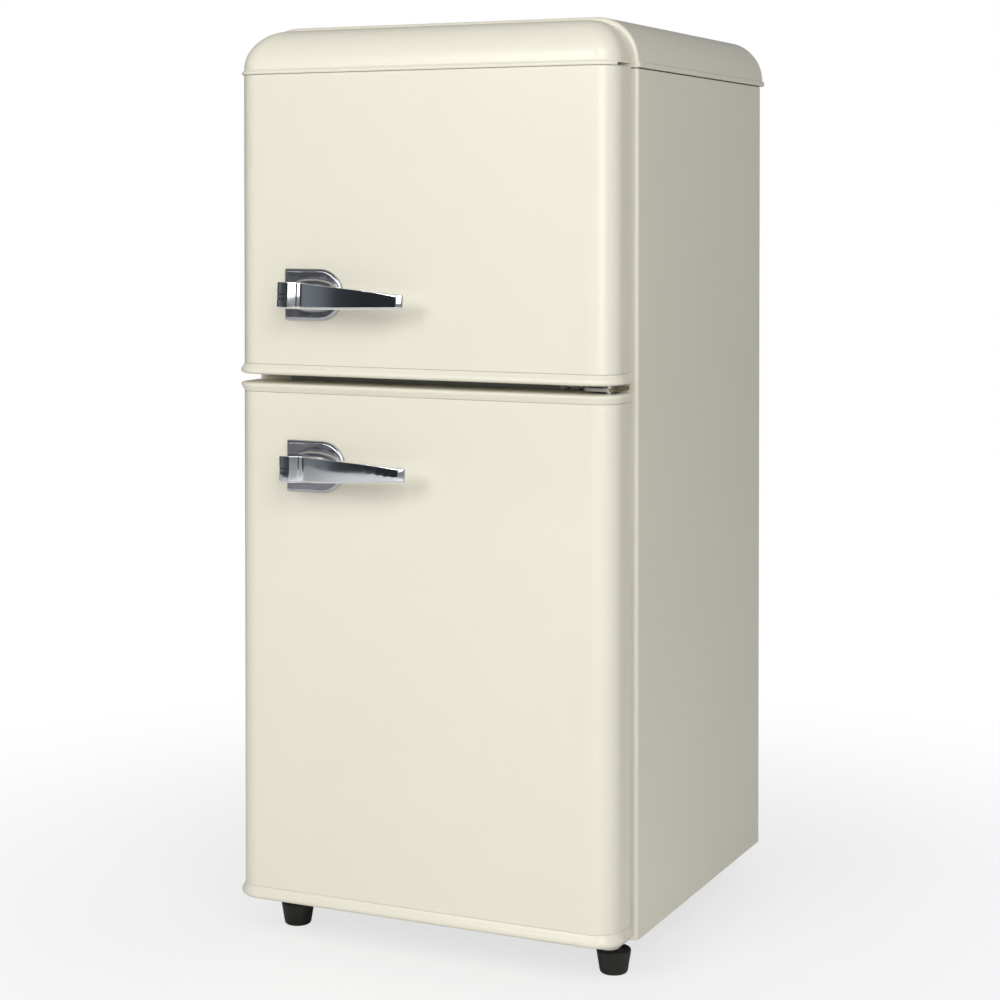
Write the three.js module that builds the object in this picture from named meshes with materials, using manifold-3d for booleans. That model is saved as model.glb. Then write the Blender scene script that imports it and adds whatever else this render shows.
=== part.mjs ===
// A compact two-door refrigerator with rounded shoulders: a freezer door above a fresh-food door,
// both hung on the right, each with a cast lever-style pull handle on its left.
// Units are millimetres. +X is the viewer's right, -Y the front, +Z up.
// The geometry is drawn with Y = 0 on the front face of the cabinet and the floor at Z = 0; the
// group is then shifted so that its origin is the middle of the footprint, on the floor.
import * as THREE from 'three';
import { mergeVertices } from 'three/addons/utils/BufferGeometryUtils.js';
import Module from 'manifold-3d';

const wasm = await Module();
wasm.setup();

// ---------------------------------------------------------------- driving dimensions
const HALF_W = 200;            // cabinet half width
const DEPTH = 354;             // cabinet depth, front face to rear edge
const Z_BASE = 39;             // underside of the cabinet above the floor
const Z_SEAM = 839;            // lower edge of the top cover and of the freezer door's cap
const ARCH_R = 42;             // shoulder radius of the top cover
const Z_TOP = 886.3;           // top of the cover
const SKIN = 1;                // sheet steel
const GAP = 0.3;               // clearance between touching pieces
const Y_REAR = 374;            // rearmost point: the condenser
const Y_FRONT = -88;           // foremost point: the handle levers

const FLANGE_X = 164;          // inner edge of the cabinet's front flange
const CAV_X = 160;             // cavity half width
const CAV_Y = 312;             // cavity depth
const FRIDGE_Z0 = 77, FRIDGE_Z1 = 520;
const FREEZER_Z0 = 572, FREEZER_Z1 = 806;
const STEP_Y = 188, STEP_Z = 248;      // step in the fresh-food cavity over the compressor bay
const BAY_Y = 228, BAY_Z = 209;        // front wall and roof of the compressor bay
const LINER = 2;

const DOOR_X = 196;            // half width of a door panel
const DOOR_FRONT = -51.5;      // face of the door panels
const DOOR_REAR = -7;          // back of the doors
const DOOR_R = 23;             // plan radius of the doors' vertical edges
const BEAD = 3.5;              // how far the end caps stand proud of the panel
const LOWER_Z0 = 44, LOWER_SEAM0 = 56, LOWER_SEAM1 = 534.5, LOWER_Z1 = 543;
const UPPER_Z0 = 551, UPPER_SEAM0 = 561;
const CAP_R = 38, CAP_TOP = 882.3;

const PIN_X = 182, PIN_Y = -26, PIN_R = 3.5, BORE_R = 3.62, BUSH_R = 6;
const DOOR_SWING = 110;        // how far each door opens, degrees
const TONGUE_HALF = 6;         // half width of the top hinge's tongue

const FOOT_X = 169, FOOT_FRONT_Y = 20;         // levelling feet under the front corners
const REAR_FOOT_X = 140, REAR_FOOT_Y = 326;
const HANDLE_UPPER_Z = 628.7, HANDLE_LOWER_Z = 465.4;
const HANDLE_LOWER_DX = 2;     // the lower pull sits a little further right
const LEVER_DROOP = 2.1;       // the upper lever points slightly down, degrees
const RACK_X = 146.5, RACK_Y = 60;
const SHELF_UPPER_Z = 404, SHELF_LOWER_Z = 300, CRISPER_TOP = 204, FREEZER_SHELF_Z = 684;

// ---------------------------------------------------------------- solids from three.js geometry
function solid(geometry) {
  const g = geometry.clone();
  g.deleteAttribute('normal');
  g.deleteAttribute('uv');
  const merged = mergeVertices(g, 1e-4);
  const make = (tri) => new wasm.Manifold(new wasm.Mesh({
    numProp: 3, vertProperties: new Float32Array(merged.attributes.position.array), triVerts: tri,
  }));
  const tri = new Uint32Array(merged.index.array);
  let m = make(tri);
  if (m.volume() < 0) {
    for (let i = 0; i < tri.length; i += 3) [tri[i + 1], tri[i + 2]] = [tri[i + 2], tri[i + 1]];
    m = make(tri);
  }
  return m;
}

function geometryOf(m) {
  const mesh = m.getMesh();
  const g = new THREE.BufferGeometry();
  g.setAttribute('position', new THREE.BufferAttribute(new Float32Array(mesh.vertProperties), 3));
  g.setIndex(new THREE.BufferAttribute(new Uint32Array(mesh.triVerts), 1));
  const flat = g.toNonIndexed();
  flat.computeVertexNormals();
  return flat;
}

const join = (...list) => list.slice(1).reduce((a, b) => a.add(b), list[0]);
const cut = (a, ...list) => list.reduce((m, b) => m.subtract(b), a);

const box = (x0, x1, y0, y1, z0, z1) => solid(
  new THREE.BoxGeometry(x1 - x0, y1 - y0, z1 - z0)
    .translate((x0 + x1) / 2, (y0 + y1) / 2, (z0 + z1) / 2));

const outline = (points) => new THREE.Shape(points.map(([a, b]) => new THREE.Vector2(a, b)));

const alongZ = (points, z0, z1, bevel = 0, segments = 2) => solid(
  new THREE.ExtrudeGeometry(outline(points), {
    depth: z1 - z0 - 2 * bevel, bevelEnabled: bevel > 0, bevelThickness: bevel,
    bevelSize: bevel, bevelOffset: -bevel, bevelSegments: segments, curveSegments: 8,
  }).translate(0, 0, z0 + bevel));

// outline in (x, z)
const alongY = (points, y0, y1, bevel = 0, segments = 2) => solid(
  new THREE.ExtrudeGeometry(outline(points), {
    depth: y1 - y0 - 2 * bevel, bevelEnabled: bevel > 0, bevelThickness: bevel,
    bevelSize: bevel, bevelOffset: -bevel, bevelSegments: segments, curveSegments: 8,
  }).rotateX(Math.PI / 2).translate(0, y1 - bevel, 0));

// outline in (y, z)
const alongX = (points, x0, x1) => solid(
  new THREE.ExtrudeGeometry(outline(points), { depth: x1 - x0, bevelEnabled: false })
    .applyMatrix4(new THREE.Matrix4().makeBasis(
      new THREE.Vector3(0, 1, 0), new THREE.Vector3(0, 0, 1), new THREE.Vector3(1, 0, 0)))
    .translate(x0, 0, 0));

const cylinderZ = (x, y, r, z0, z1, n = 20, r1 = r) => solid(
  new THREE.CylinderGeometry(r1, r, z1 - z0, n).rotateX(Math.PI / 2).translate(x, y, (z0 + z1) / 2));
const cylinderY = (x, z, r, y0, y1, n = 20) => solid(
  new THREE.CylinderGeometry(r, r, y1 - y0, n).translate(x, (y0 + y1) / 2, z));
const cylinderX = (y, z, r, x0, x1, n = 20, r1 = r) => solid(
  new THREE.CylinderGeometry(r, r1, x1 - x0, n).rotateZ(Math.PI / 2).translate((x0 + x1) / 2, y, z));

// revolved about a vertical axis at (x, y); profile is [radius, height] from the bottom up
const turned = (x, y, profile, n = 24) => solid(
  new THREE.LatheGeometry(profile.map(([r, z]) => new THREE.Vector2(r, z)), n)
    .rotateX(Math.PI / 2).translate(x, y, 0));

function arc(cx, cy, r, a0, a1, n) {
  const out = [];
  for (let i = 0; i <= n; i++) {
    const a = (a0 + (a1 - a0) * i / n) * Math.PI / 180;
    out.push([cx + r * Math.cos(a), cy + r * Math.sin(a)]);
  }
  return out;
}

function tube(points, r, steps, sides = 6) {
  const path = new THREE.CatmullRomCurve3(points.map((p) => new THREE.Vector3(...p)), false, 'centripetal');
  return solid(new THREE.ExtrudeGeometry(outline(arc(0, 0, r, 0, 360 - 360 / sides, sides - 1)),
    { steps, extrudePath: path, bevelEnabled: false }));
}

// ---------------------------------------------------------------- finishes
const finish = (color, roughness, metalness) => new THREE.MeshStandardMaterial({ color, roughness, metalness });
const CREAM = finish(0xf0edde, 0.28, 0.0);
const CREAM_PLASTIC = finish(0xeeebdc, 0.32, 0.0);
const WHITE = finish(0xf3f3f0, 0.4, 0.0);
const FOAM = finish(0xe0cf8a, 0.95, 0.0);
const CHROME = finish(0xd8dadc, 0.08, 1.0);
const ZINC = finish(0xb9bcc0, 0.4, 1.0);
const RUBBER = finish(0x8d8d8a, 0.8, 0.0);
const BLACK = finish(0x1c1b18, 0.55, 0.0);
const BLACK_STEEL = finish(0x17181a, 0.45, 0.3);
const RAIL = finish(0x55575a, 0.5, 0.0);
const GLASS = finish(0xd6e6e2, 0.06, 0.0);
const CLEAR = finish(0xe4ecee, 0.15, 0.0);
const ALUMINIUM = finish(0xc9cbcd, 0.4, 1.0);
const COPPER = finish(0xb8683f, 0.35, 1.0);

const fridge = new THREE.Group();
const cabinet = new THREE.Group();
const freezerDoor = new THREE.Group();
const fridgeDoor = new THREE.Group();
fridge.add(cabinet, freezerDoor, fridgeDoor);

function add(group, name, m, material) {
  const mesh = new THREE.Mesh(geometryOf(m), material);
  mesh.name = name;
  group.add(mesh);
  return mesh;
}

// ---------------------------------------------------------------- outlines shared by several pieces
// arch in (x, z): straight sides from zLow, then the shoulders
const arch = (half, r, zTop, zLow, n = 9) => [
  [-half, zLow], [half, zLow],
  ...arc(half - r, zTop - r, r, 0, 90, n),
  ...arc(-half + r, zTop - r, r, 90, 180, n),
];
// plan outline of a door: square at the back, rounded at the front
const plan = (half, front, rear, r, n = 7) => [
  [half, rear], [-half, rear],
  ...arc(-half + r, front + r, r, 180, 270, n),
  ...arc(half - r, front + r, r, 270, 360, n),
];

// ---------------------------------------------------------------- cabinet shell
// a plate filling the shell's plan, its front corners cut back from the rounded front edges
const slab = (x, y0, y1, z0, z1) => alongZ(
  [[-x, y1], [-x, y0 + 4], [-x + 4, y0], [x - 4, y0], [x, y0 + 4], [x, y1]].reverse(), z0, z1);
function sidePanel(s) {
  const r = 3.5, t = SKIN, w = HALF_W;
  const pts = [
    [FLANGE_X, 0], ...arc(w - r, r, r, 270, 360, 4), [w, DEPTH], [w - 14, DEPTH], [w - 14, DEPTH - t],
    [w - t, DEPTH - t], ...arc(w - r, r, r - t, 360, 270, 4), [FLANGE_X, t],
  ];
  return alongZ(s > 0 ? pts : pts.map(([x, y]) => [-x, y]).reverse(), Z_BASE, Z_SEAM - GAP);
}
add(cabinet, 'side_panel_left', sidePanel(-1), CREAM);
add(cabinet, 'side_panel_right', sidePanel(1), CREAM);

{
  const t = 1.5, yWall = 363.3;
  const outer = join(
    alongY(arch(HALF_W, ARCH_R, Z_TOP, Z_SEAM), 0, yWall, 1.2, 1),
    alongZ([[HALF_W + 1.7, 1.2], [HALF_W + 1.7, 365], [-HALF_W - 1.7, 365], [-HALF_W - 1.7, 1.2]], Z_SEAM, Z_SEAM + 5.5, 1.2, 1));
  const inner = alongY(arch(HALF_W - t, ARCH_R - t, Z_TOP - t, Z_SEAM - 5), t, yWall - t);
  const header = box(-FLANGE_X + GAP, FLANGE_X - GAP, 0, t, 808.2, Z_SEAM + 4);
  add(cabinet, 'top_cover', join(cut(outer, inner), header), CREAM);
}

add(cabinet, 'back_panel', box(-198.6, 198.6, DEPTH - 2.4, DEPTH - 1.4, BAY_Z + 1.9, Z_SEAM - 0.7), ZINC);

const footHole = (x, y) => cylinderZ(x, y, 4.6, Z_BASE - 1, Z_BASE + 4, 12);
add(cabinet, 'base_pan', cut(
  join(slab(198.6, 1.3, DEPTH - 1.5, Z_BASE, Z_BASE + 1.5),
    box(-FLANGE_X + GAP, FLANGE_X - GAP, 0, 1.3, Z_BASE, 73.7)),
  footHole(-FOOT_X, FOOT_FRONT_Y), footHole(FOOT_X, FOOT_FRONT_Y)), ZINC);

add(cabinet, 'compressor_bay_panel', join(
  box(-198.4, 198.4, BAY_Y, BAY_Y + 1.2, Z_BASE + 1.9, BAY_Z + 1.2),
  box(-198.4, 198.4, BAY_Y, DEPTH - 1.8, BAY_Z, BAY_Z + 1.2)), ZINC);

// the foamed-in-place insulation, one block between skin and liners
const fridgeProfile = (o) => [
  [-1, FRIDGE_Z0 - o], [STEP_Y + o, FRIDGE_Z0 - o], [STEP_Y + o, STEP_Z - o],
  [CAV_Y + o, STEP_Z - o], [CAV_Y + o, FRIDGE_Z1 + o], [-1, FRIDGE_Z1 + o],
];
{
  const inset = 1.7;
  let foam = join(
    slab(198.3, 1.6, DEPTH - 2.8, Z_BASE + 1.9, Z_SEAM),
    alongY(arch(HALF_W - inset - 0.2, ARCH_R - inset, Z_TOP - inset - 0.2, Z_SEAM - 1, 7), 1.9, DEPTH - 2.8));
  foam = cut(foam,
    box(-210, 210, BAY_Y - GAP, 400, 0, BAY_Z + 1.6),
    alongX(fridgeProfile(LINER + GAP), -CAV_X - LINER - GAP, CAV_X + LINER + GAP),
    box(-CAV_X - LINER - GAP, CAV_X + LINER + GAP, -1, CAV_Y + LINER + GAP, FREEZER_Z0 - LINER - GAP, FREEZER_Z1 + LINER + GAP),
    box(-141, 141, CAV_Y, 317, 584, 791),
    box(-165, 165, 0, 9, 523.8, 526), box(-165, 165, 0, 9, 566, 568.2),
    cylinderZ(-FOOT_X, FOOT_FRONT_Y, 6.5, 30, 58, 12), cylinderZ(FOOT_X, FOOT_FRONT_Y, 6.5, 30, 58, 12));
  add(cabinet, 'insulation_foam', foam, FOAM);
}

add(cabinet, 'evaporator_plate', box(-140.5, 140.5, CAV_Y + LINER + 0.5, 316.5, 584.5, 790.5), ALUMINIUM);

// liners: open tubs with a front lip and moulded shelf ledges
const ledge = (z, y0, y1) => join(
  box(-CAV_X - 0.5, -CAV_X + 5, y0, y1, z - 5, z - GAP), box(CAV_X - 5, CAV_X + 0.5, y0, y1, z - 5, z - GAP));
{
  const o = LINER;
  let m = cut(join(
    box(-CAV_X - o, CAV_X + o, 0, CAV_Y + o, FREEZER_Z0 - o, FREEZER_Z1 + o),
    box(-FLANGE_X + GAP, FLANGE_X - GAP, 0, 1, 568.3, 807.9)),
    box(-CAV_X, CAV_X, -1, CAV_Y, FREEZER_Z0, FREEZER_Z1));
  add(cabinet, 'freezer_liner', join(m, ledge(FREEZER_SHELF_Z, 73, 306)), WHITE);
  const outer = [[0, FRIDGE_Z0 - o], ...fridgeProfile(o).slice(1, 5), [0, FRIDGE_Z1 + o]];
  m = cut(join(alongX(outer, -CAV_X - o, CAV_X + o),
    box(-FLANGE_X + GAP, FLANGE_X - GAP, 0, 1, 74, 523.7)),
    alongX(fridgeProfile(0), -CAV_X, CAV_X));
  add(cabinet, 'fridge_liner', join(m, ledge(SHELF_UPPER_Z, 73, 306), ledge(SHELF_LOWER_Z, 73, 306),
    ledge(CRISPER_TOP, 73, STEP_Y - 4)), WHITE);
}

add(cabinet, 'center_rail', join(
  box(-FLANGE_X + GAP, FLANGE_X - GAP, 0, 1.2, 524, 568),
  box(-FLANGE_X + GAP, FLANGE_X - GAP, 0, 8, 524.1, 525.5),
  box(-FLANGE_X + GAP, FLANGE_X - GAP, 0, 8, 566.5, 567.9)), RAIL);

// ---------------------------------------------------------------- hinge brackets with their riveted pins
// The screwed leg stays left of the circle that the doors' rear corners sweep round the pin.
const LEG_X0 = 124, LEG_X1 = 164;
const tongue = (z0, z1, half, left) => join(
  box(LEG_X0 + 4, PIN_X + half, -2.6, -GAP, z0, z1),
  alongZ([[left, -1], [left, PIN_Y], ...arc(left + half, PIN_Y, half, 180, 270, 4), ...arc(PIN_X, PIN_Y, half, 270, 360, 4),
    [PIN_X + half, -1]].filter((p, i, all) => !i || Math.hypot(p[0] - all[i - 1][0], p[1] - all[i - 1][1]) > 0.01), z0, z1));
add(cabinet, 'middle_hinge', join(
  box(LEG_X0, LEG_X1, -2.6, -GAP, 539, 554.4), tongue(545.2, 548.2, 10, 158),
  cylinderZ(PIN_X, PIN_Y, PIN_R, 533.5, 560.5, 24), cylinderZ(PIN_X, PIN_Y, 5.4, 544.4, 549.6, 12)), ZINC);
add(cabinet, 'top_hinge', join(
  box(LEG_X0, LEG_X1, -2.6, -GAP, 826, 843), tongue(839.4, 841.2, TONGUE_HALF, PIN_X - TONGUE_HALF),
  cylinderZ(PIN_X, PIN_Y, PIN_R, 827, 841.2, 24)), ZINC);
add(cabinet, 'bottom_hinge', join(
  box(LEG_X0, LEG_X1, -2.6, -GAP, 39.2, 52.8), tongue(39.2, 42.2, 10, 158),
  cylinderZ(PIN_X, PIN_Y, PIN_R, 39.2, 56, 24)), ZINC);

// ---------------------------------------------------------------- feet
const foot = (x, y, top) => join(
  turned(x, y, [[0, 0], [11.4, 0], [13.2, 1.8], [16.2, 20], [14.8, 23], [0, 23]], 20),
  cylinderZ(x, y, 7.2, 22.5, Z_BASE - GAP, 6), cylinderZ(x, y, 4, 23, top, 12));
add(fridge, 'front_foot_left', foot(-FOOT_X, FOOT_FRONT_Y, 54), BLACK);
add(fridge, 'front_foot_right', foot(FOOT_X, FOOT_FRONT_Y, 54), BLACK);
add(cabinet, 'rear_foot_left', foot(-REAR_FOOT_X, REAR_FOOT_Y, Z_BASE - GAP), BLACK);
add(cabinet, 'rear_foot_right', foot(REAR_FOOT_X, REAR_FOOT_Y, Z_BASE - GAP), BLACK);

// ---------------------------------------------------------------- refrigeration circuit
{
  const cx = 40, cy = 290;
  const shell = solid(new THREE.SphereGeometry(1, 20, 12).rotateX(Math.PI / 2).scale(82, 56, 66).translate(cx, cy, 116));
  add(cabinet, 'compressor', join(shell,
    solid(new THREE.CylinderGeometry(1, 1, 7, 24).rotateX(Math.PI / 2).scale(84, 58, 1).translate(cx, cy, 116)),
    box(cx - 70, cx + 70, cy - 48, cy + 48, 58, 61)), BLACK_STEEL);
  let mount = box(cx - 90, cx + 90, cy - 54, cy + 54, 40.9, 43.4);
  for (const [dx, dy] of [[-58, -38], [58, -38], [-58, 38], [58, 38]])
    mount = join(mount, cylinderZ(cx + dx, cy + dy, 8, 43, 57.7, 10));
  add(cabinet, 'compressor_mount', mount, ZINC);
  add(cabinet, 'relay_cover', alongX([[cy - 26, 84], [cy + 26, 84], [cy + 26, 140], [cy - 18, 140], [cy - 26, 132]], 124.6, 152), BLACK);
  add(cabinet, 'cord_gland', cut(join(cylinderY(138, 100, 8, cy + 26.3, cy + 29, 16), cylinderY(138, 100, 6, cy + 28, cy + 40, 16)),
    cylinderY(138, 100, 3.6, cy + 30, cy + 45, 12)), BLACK);
  add(cabinet, 'drip_tray', cut(box(-20, 100, 242, 338, 188, 204), box(-17, 97, 245, 335, 190.5, 210)), CLEAR);
  add(cabinet, 'discharge_line', tube([[-44.5, 290, 112], [-90, 296, 112], [-130, 318, 116], [-158, 344, 140], [-165, 363, 178], [-165, 368, 225]], 2.6, 22), COPPER);
}
{
  const y = 368, x = 150, n = 10, z0 = 240, pitch = 60, r = 2.5, b = pitch / 2;
  let coil = null;
  const piece = (m) => { coil = coil ? coil.add(m) : m; };
  for (let i = 0; i < n; i++) {
    const z = z0 + i * pitch, first = i === 0;
    piece(cylinderX(y, z, r, -x - 0.01, x + 0.01, 6));
    if (i < n - 1) {
      const s = i % 2 ? -1 : 1;
      const p = arc(0, 0, b, -90, 90, 6).map(([a, c]) => [s * (x + a * 0.45), y, z + b + c]);
      piece(tube(p, r, 8));
    }
    if (first) piece(tube([[-x + 1, y, z], [-x - 8, y, z - 1.5], [-x - 14, y, z - 7], [-x - 15, y, z - 14]], r, 6));
  }
  add(cabinet, 'condenser_coil', coil, BLACK_STEEL);
  let grid = join(box(-156, 156, 371.2, Y_REAR, 222, 228), box(-156, 156, 371.2, Y_REAR, 794, 800));
  for (let i = 0; i < 18; i++) {
    const gx = -144 + i * 288 / 17;
    grid = grid.add(box(gx - 1, gx + 1, 371.4, 373.2, 225, 797));
  }
  for (const [gx, gz] of [[-120, 225], [120, 225], [-120, 797], [120, 797]])
    grid = grid.add(box(gx - 5, gx + 5, DEPTH - 1.1, 372, gz - 2, gz + 2));
  add(cabinet, 'condenser_wires', grid, BLACK_STEEL);
}

// ---------------------------------------------------------------- fittings in the cavities
{
  const y0 = 112, y1 = 236, z0 = 436, z1 = 512, x0 = 128, x1 = CAV_X - GAP;
  add(cabinet, 'thermostat_housing', cut(
    alongY([[x1, z0], [x1, z1], [x0 + 8, z1], [x0, z1 - 8], [x0, z0 + 10], [x0 + 10, z0]].reverse(), y0, y1),
    cylinderX(148, 474, 4, x0 - 1, x0 + 9, 12),
    box(x0 - 1, x0 + 12, 184, 228, 448, 500)), WHITE);
  add(cabinet, 'lamp_lens', box(x0 - 4, x0 + 11.7, 184.3, 227.7, 448.3, 499.7), CLEAR);
  add(fridge, 'thermostat_knob', join(
    cylinderX(148, 474, 16, x0 - 9.5, x0 - GAP, 24), cylinderX(148, 474, 3.6, x0 - 1, x0 + 8, 12),
    box(x0 - 13, x0 - 8, 145.6, 150.4, 459.5, 488.5)), WHITE);
}
const glass = (z, y1) => box(-CAV_X + 2.5, CAV_X - 2.5, 72, y1, z, z + 4);
const trim = (z) => box(-CAV_X + 2.5, CAV_X - 2.5, 65.5, 71.7, z - 2.5, z + 8);
add(cabinet, 'glass_shelf_upper', glass(SHELF_UPPER_Z, 306), GLASS);
add(cabinet, 'glass_shelf_lower', glass(SHELF_LOWER_Z, 306), GLASS);
add(cabinet, 'shelf_trim_upper', trim(SHELF_UPPER_Z), WHITE);
add(cabinet, 'shelf_trim_lower', trim(SHELF_LOWER_Z), WHITE);
add(cabinet, 'crisper_cover', glass(CRISPER_TOP, STEP_Y - 1), GLASS);
add(cabinet, 'crisper_drawer', cut(
  alongX([[70, 78], [STEP_Y - 4, 78], [STEP_Y - 4, 197], [66, 197]], -152, 152),
  alongX([[73, 80.5], [STEP_Y - 6.5, 80.5], [STEP_Y - 6.5, 210], [68.6, 210], [69, 197]], -149.5, 149.5),
  alongX([[60, 188], [75, 188], [75, 199], [60, 199]], -40, 40)), CLEAR);
{
  const z = FREEZER_SHELF_Z, x = CAV_X - 2.5;
  let m = cut(box(-x, x, 70, 304, z, z + 4), box(-x + 4, x - 4, 74, 300, z - 1, z + 5));
  for (let i = 1; i < 16; i++) {
    const gx = -x + i * 2 * x / 16;
    m = m.add(box(gx - 1.2, gx + 1.2, 72, 302, z + 1.5, z + 3.7));
  }
  add(cabinet, 'freezer_wire_shelf', m, WHITE);
}

// ---------------------------------------------------------------- doors
const bushHole = (z0, z1) => cylinderZ(PIN_X, PIN_Y, BUSH_R + 0.3, z0, z1, 16);
const bush = (z0, z1) => cut(cylinderZ(PIN_X, PIN_Y, BUSH_R, z0, z1, 16), cylinderZ(PIN_X, PIN_Y, BORE_R, z0 - 1, z1 + 1, 24));
function beadCap(z0, z1) {
  const w = DOOR_X + BEAD;
  const [, , ...front] = plan(w, DOOR_FRONT - BEAD, DOOR_REAR, DOOR_R + BEAD);
  return alongZ([[w, DOOR_REAR - 2.5], [w - 2.5, DOOR_REAR], [-w + 2.5, DOOR_REAR], [-w, DOOR_REAR - 2.5], ...front], z0, z1, BEAD, 3);
}
function doorPanel(z0, z1) {
  const t = SKIN, w = DOOR_X, f = DOOR_FRONT, r = DOOR_R, ry = DOOR_REAR;
  return alongZ([
    [-w + 13, ry], [-w, ry], ...arc(-w + r, f + r, r, 180, 270, 8), ...arc(w - r, f + r, r, 270, 360, 8),
    [w, ry], [w - 13, ry], [w - 13, ry - t], [w - t, ry - t],
    ...arc(w - r, f + r, r - t, 360, 270, 8), ...arc(-w + r, f + r, r - t, 270, 180, 8),
    [-w + t, ry - t], [-w + 13, ry - t],
  ], z0, z1);
}
const doorFoam = (z0, z1) => alongZ(plan(DOOR_X - 1.4, DOOR_FRONT + 1.4, -9.8, DOOR_R - 1.4, 5), z0, z1);
function doorLiner(z0, z1, d0, d1) {
  return join(box(-182.6, 182.6, -9.4, DOOR_REAR, z0, z1),
    cut(box(-154, 154, -8, 12, d0, d1), box(-151, 151, -7, 20, d0 + 3, d1 - 3)));
}
const gasket = (z0, z1) => cut(box(-179, 179, DOOR_REAR + GAP, -GAP, z0, z1), box(-166, 166, -10, 5, z0 + 13, z1 - 13));
function rack(z0, z1, depth = RACK_Y) {
  const x = RACK_X, y0 = DOOR_REAR + GAP;
  return cut(
    box(-x, x, y0, depth, z0, z1),
    box(-x + 2.5, x - 2.5, y0 + 2.2, depth - 2.5, z0 + 2.5, z1 + 5));
}

// cast handle: an escutcheon on the door, and a tapering lever standing clear of the door face
function handleBase(z) {
  const plate = alongY([[-139, z - 24.5], [-101, z - 24.5], ...arc(-101, z, 24.5, -85, 85, 10), [-101, z + 24.5], [-139, z + 24.5]],
    -57, DOOR_FRONT - GAP, 1.5, 2);
  const boss = alongY([[-136, z - 14], [-104, z - 15], [-90, z - 11], [-84, z], [-90, z + 11], [-104, z + 15], [-136, z + 14]],
    -66, -54, 3, 2);
  return join(plate, boss);
}
function handleLever(z, droop) {
  const top = alongZ([
    [-111, -66.3], [-106, -72], [-99, -76], [-84, -78.6], [-40, -80.5], [1.5, -80.5], [1.5, -84],
    [-2.5, -86], [-40, -88], [-64, -87.6], [-84, -86], [-96, -84.5], [-104, -84.2], [-111, -83.8], [-115, -85.4], [-118.5, -88], [-127, -86.6], [-130, -84.4], [-130, -70], [-128, -66.3],
  ].reverse(), z - 20, z + 20);
  const face = alongY([
    [-130, z - 12], [-112, z - 12.4], [-55, z - 9.6], [1.5, z - 6], [1.5, z + 6.8], [-55, z + 10], [-112, z + 12.8], [-130, z + 12.8],
  ], -95, -60);
  return cut(top.intersect(face), box(-140, -123, -86, -60, z + 1.6, z + 3.6), box(-140, -123, -86, -60, z - 3.6, z - 1.6))
    .translate([120, 0, -z]).rotate([0, droop, 0]).translate([-120, 0, z]);
}

// freezer door
{
  const g = freezerDoor, pitZ = Z_SEAM - 1, roofZ = 841.8;
  add(g, 'freezer_door_panel', doorPanel(UPPER_SEAM0 + GAP, Z_SEAM - GAP), CREAM);
  add(g, 'freezer_door_bottom_cap', cut(beadCap(UPPER_Z0, UPPER_SEAM0), bushHole(540, 570)), CREAM_PLASTIC);
  const nose = (o, zLow) => {
    const r = CAP_R - o, f = DOOR_FRONT + o, top = CAP_TOP - o;
    return alongY(arch(DOOR_X - o, r, top, zLow, 8), -70, DOOR_REAR)
      .intersect(alongX([[f, zLow], [DOOR_REAR, zLow], [DOOR_REAR, top], ...arc(f + r, top - r, r, 90, 180, 8)], -DOOR_X, DOOR_X))
      .intersect(alongZ(plan(DOOR_X - o, f, DOOR_REAR, DOOR_R - o, 7), zLow, CAP_TOP + 1));
  };
  // the hinge tongue enters through a slot, cut wide enough for the door to turn round it
  const c = TONGUE_HALF + 1.2, end = (90 - DOOR_SWING - 2) * Math.PI / 180;
  const far = (x, y) => [x + 60 * Math.cos(end), y + 60 * Math.sin(end)];
  const near = [PIN_X + c * Math.sin(end), PIN_Y - c * Math.cos(end)];
  const slot = join(
    cylinderZ(PIN_X, PIN_Y, c, pitZ, roofZ, 20),
    alongZ([[PIN_X - c, PIN_Y], near, far(...near), [250, 20], [PIN_X - c, 20]], pitZ, roofZ));
  let cap = join(nose(0, Z_SEAM), alongZ(plan(DOOR_X + 2.3, DOOR_FRONT - 2.3, DOOR_REAR, DOOR_R + 2.3, 7), Z_SEAM, Z_SEAM + 3, 1.2, 1));
  cap = cut(cap, nose(3, 830).intersect(box(-200, 148, -100, -10.2, 830, 900)), slot);
  add(g, 'freezer_door_top_cap', cap, CREAM_PLASTIC);
  add(g, 'freezer_door_foam', cut(
    join(doorFoam(UPPER_SEAM0 + GAP, Z_SEAM - 0.4), nose(3.3, 834).intersect(box(-200, 147.6, -100, -10.6, 834, 900))),
    cylinderZ(PIN_X, PIN_Y, BUSH_R + 0.6, 826, 850, 16)), FOAM);
  add(g, 'freezer_door_liner', doorLiner(UPPER_SEAM0 + GAP, Z_SEAM - GAP, 581, 797), WHITE);
  add(g, 'freezer_door_gasket', gasket(556, 823), RUBBER);
  add(g, 'freezer_door_bush_lower', bush(551.4, 560.7), BLACK);
  add(g, 'freezer_door_bush_upper', bush(827, 838.6), BLACK);
  add(g, 'freezer_door_rack', rack(598, 646), WHITE);
  add(g, 'freezer_handle_base', handleBase(HANDLE_UPPER_Z), CHROME);
  add(g, 'freezer_handle_lever', handleLever(HANDLE_UPPER_Z, LEVER_DROOP), CHROME);
}

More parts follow.
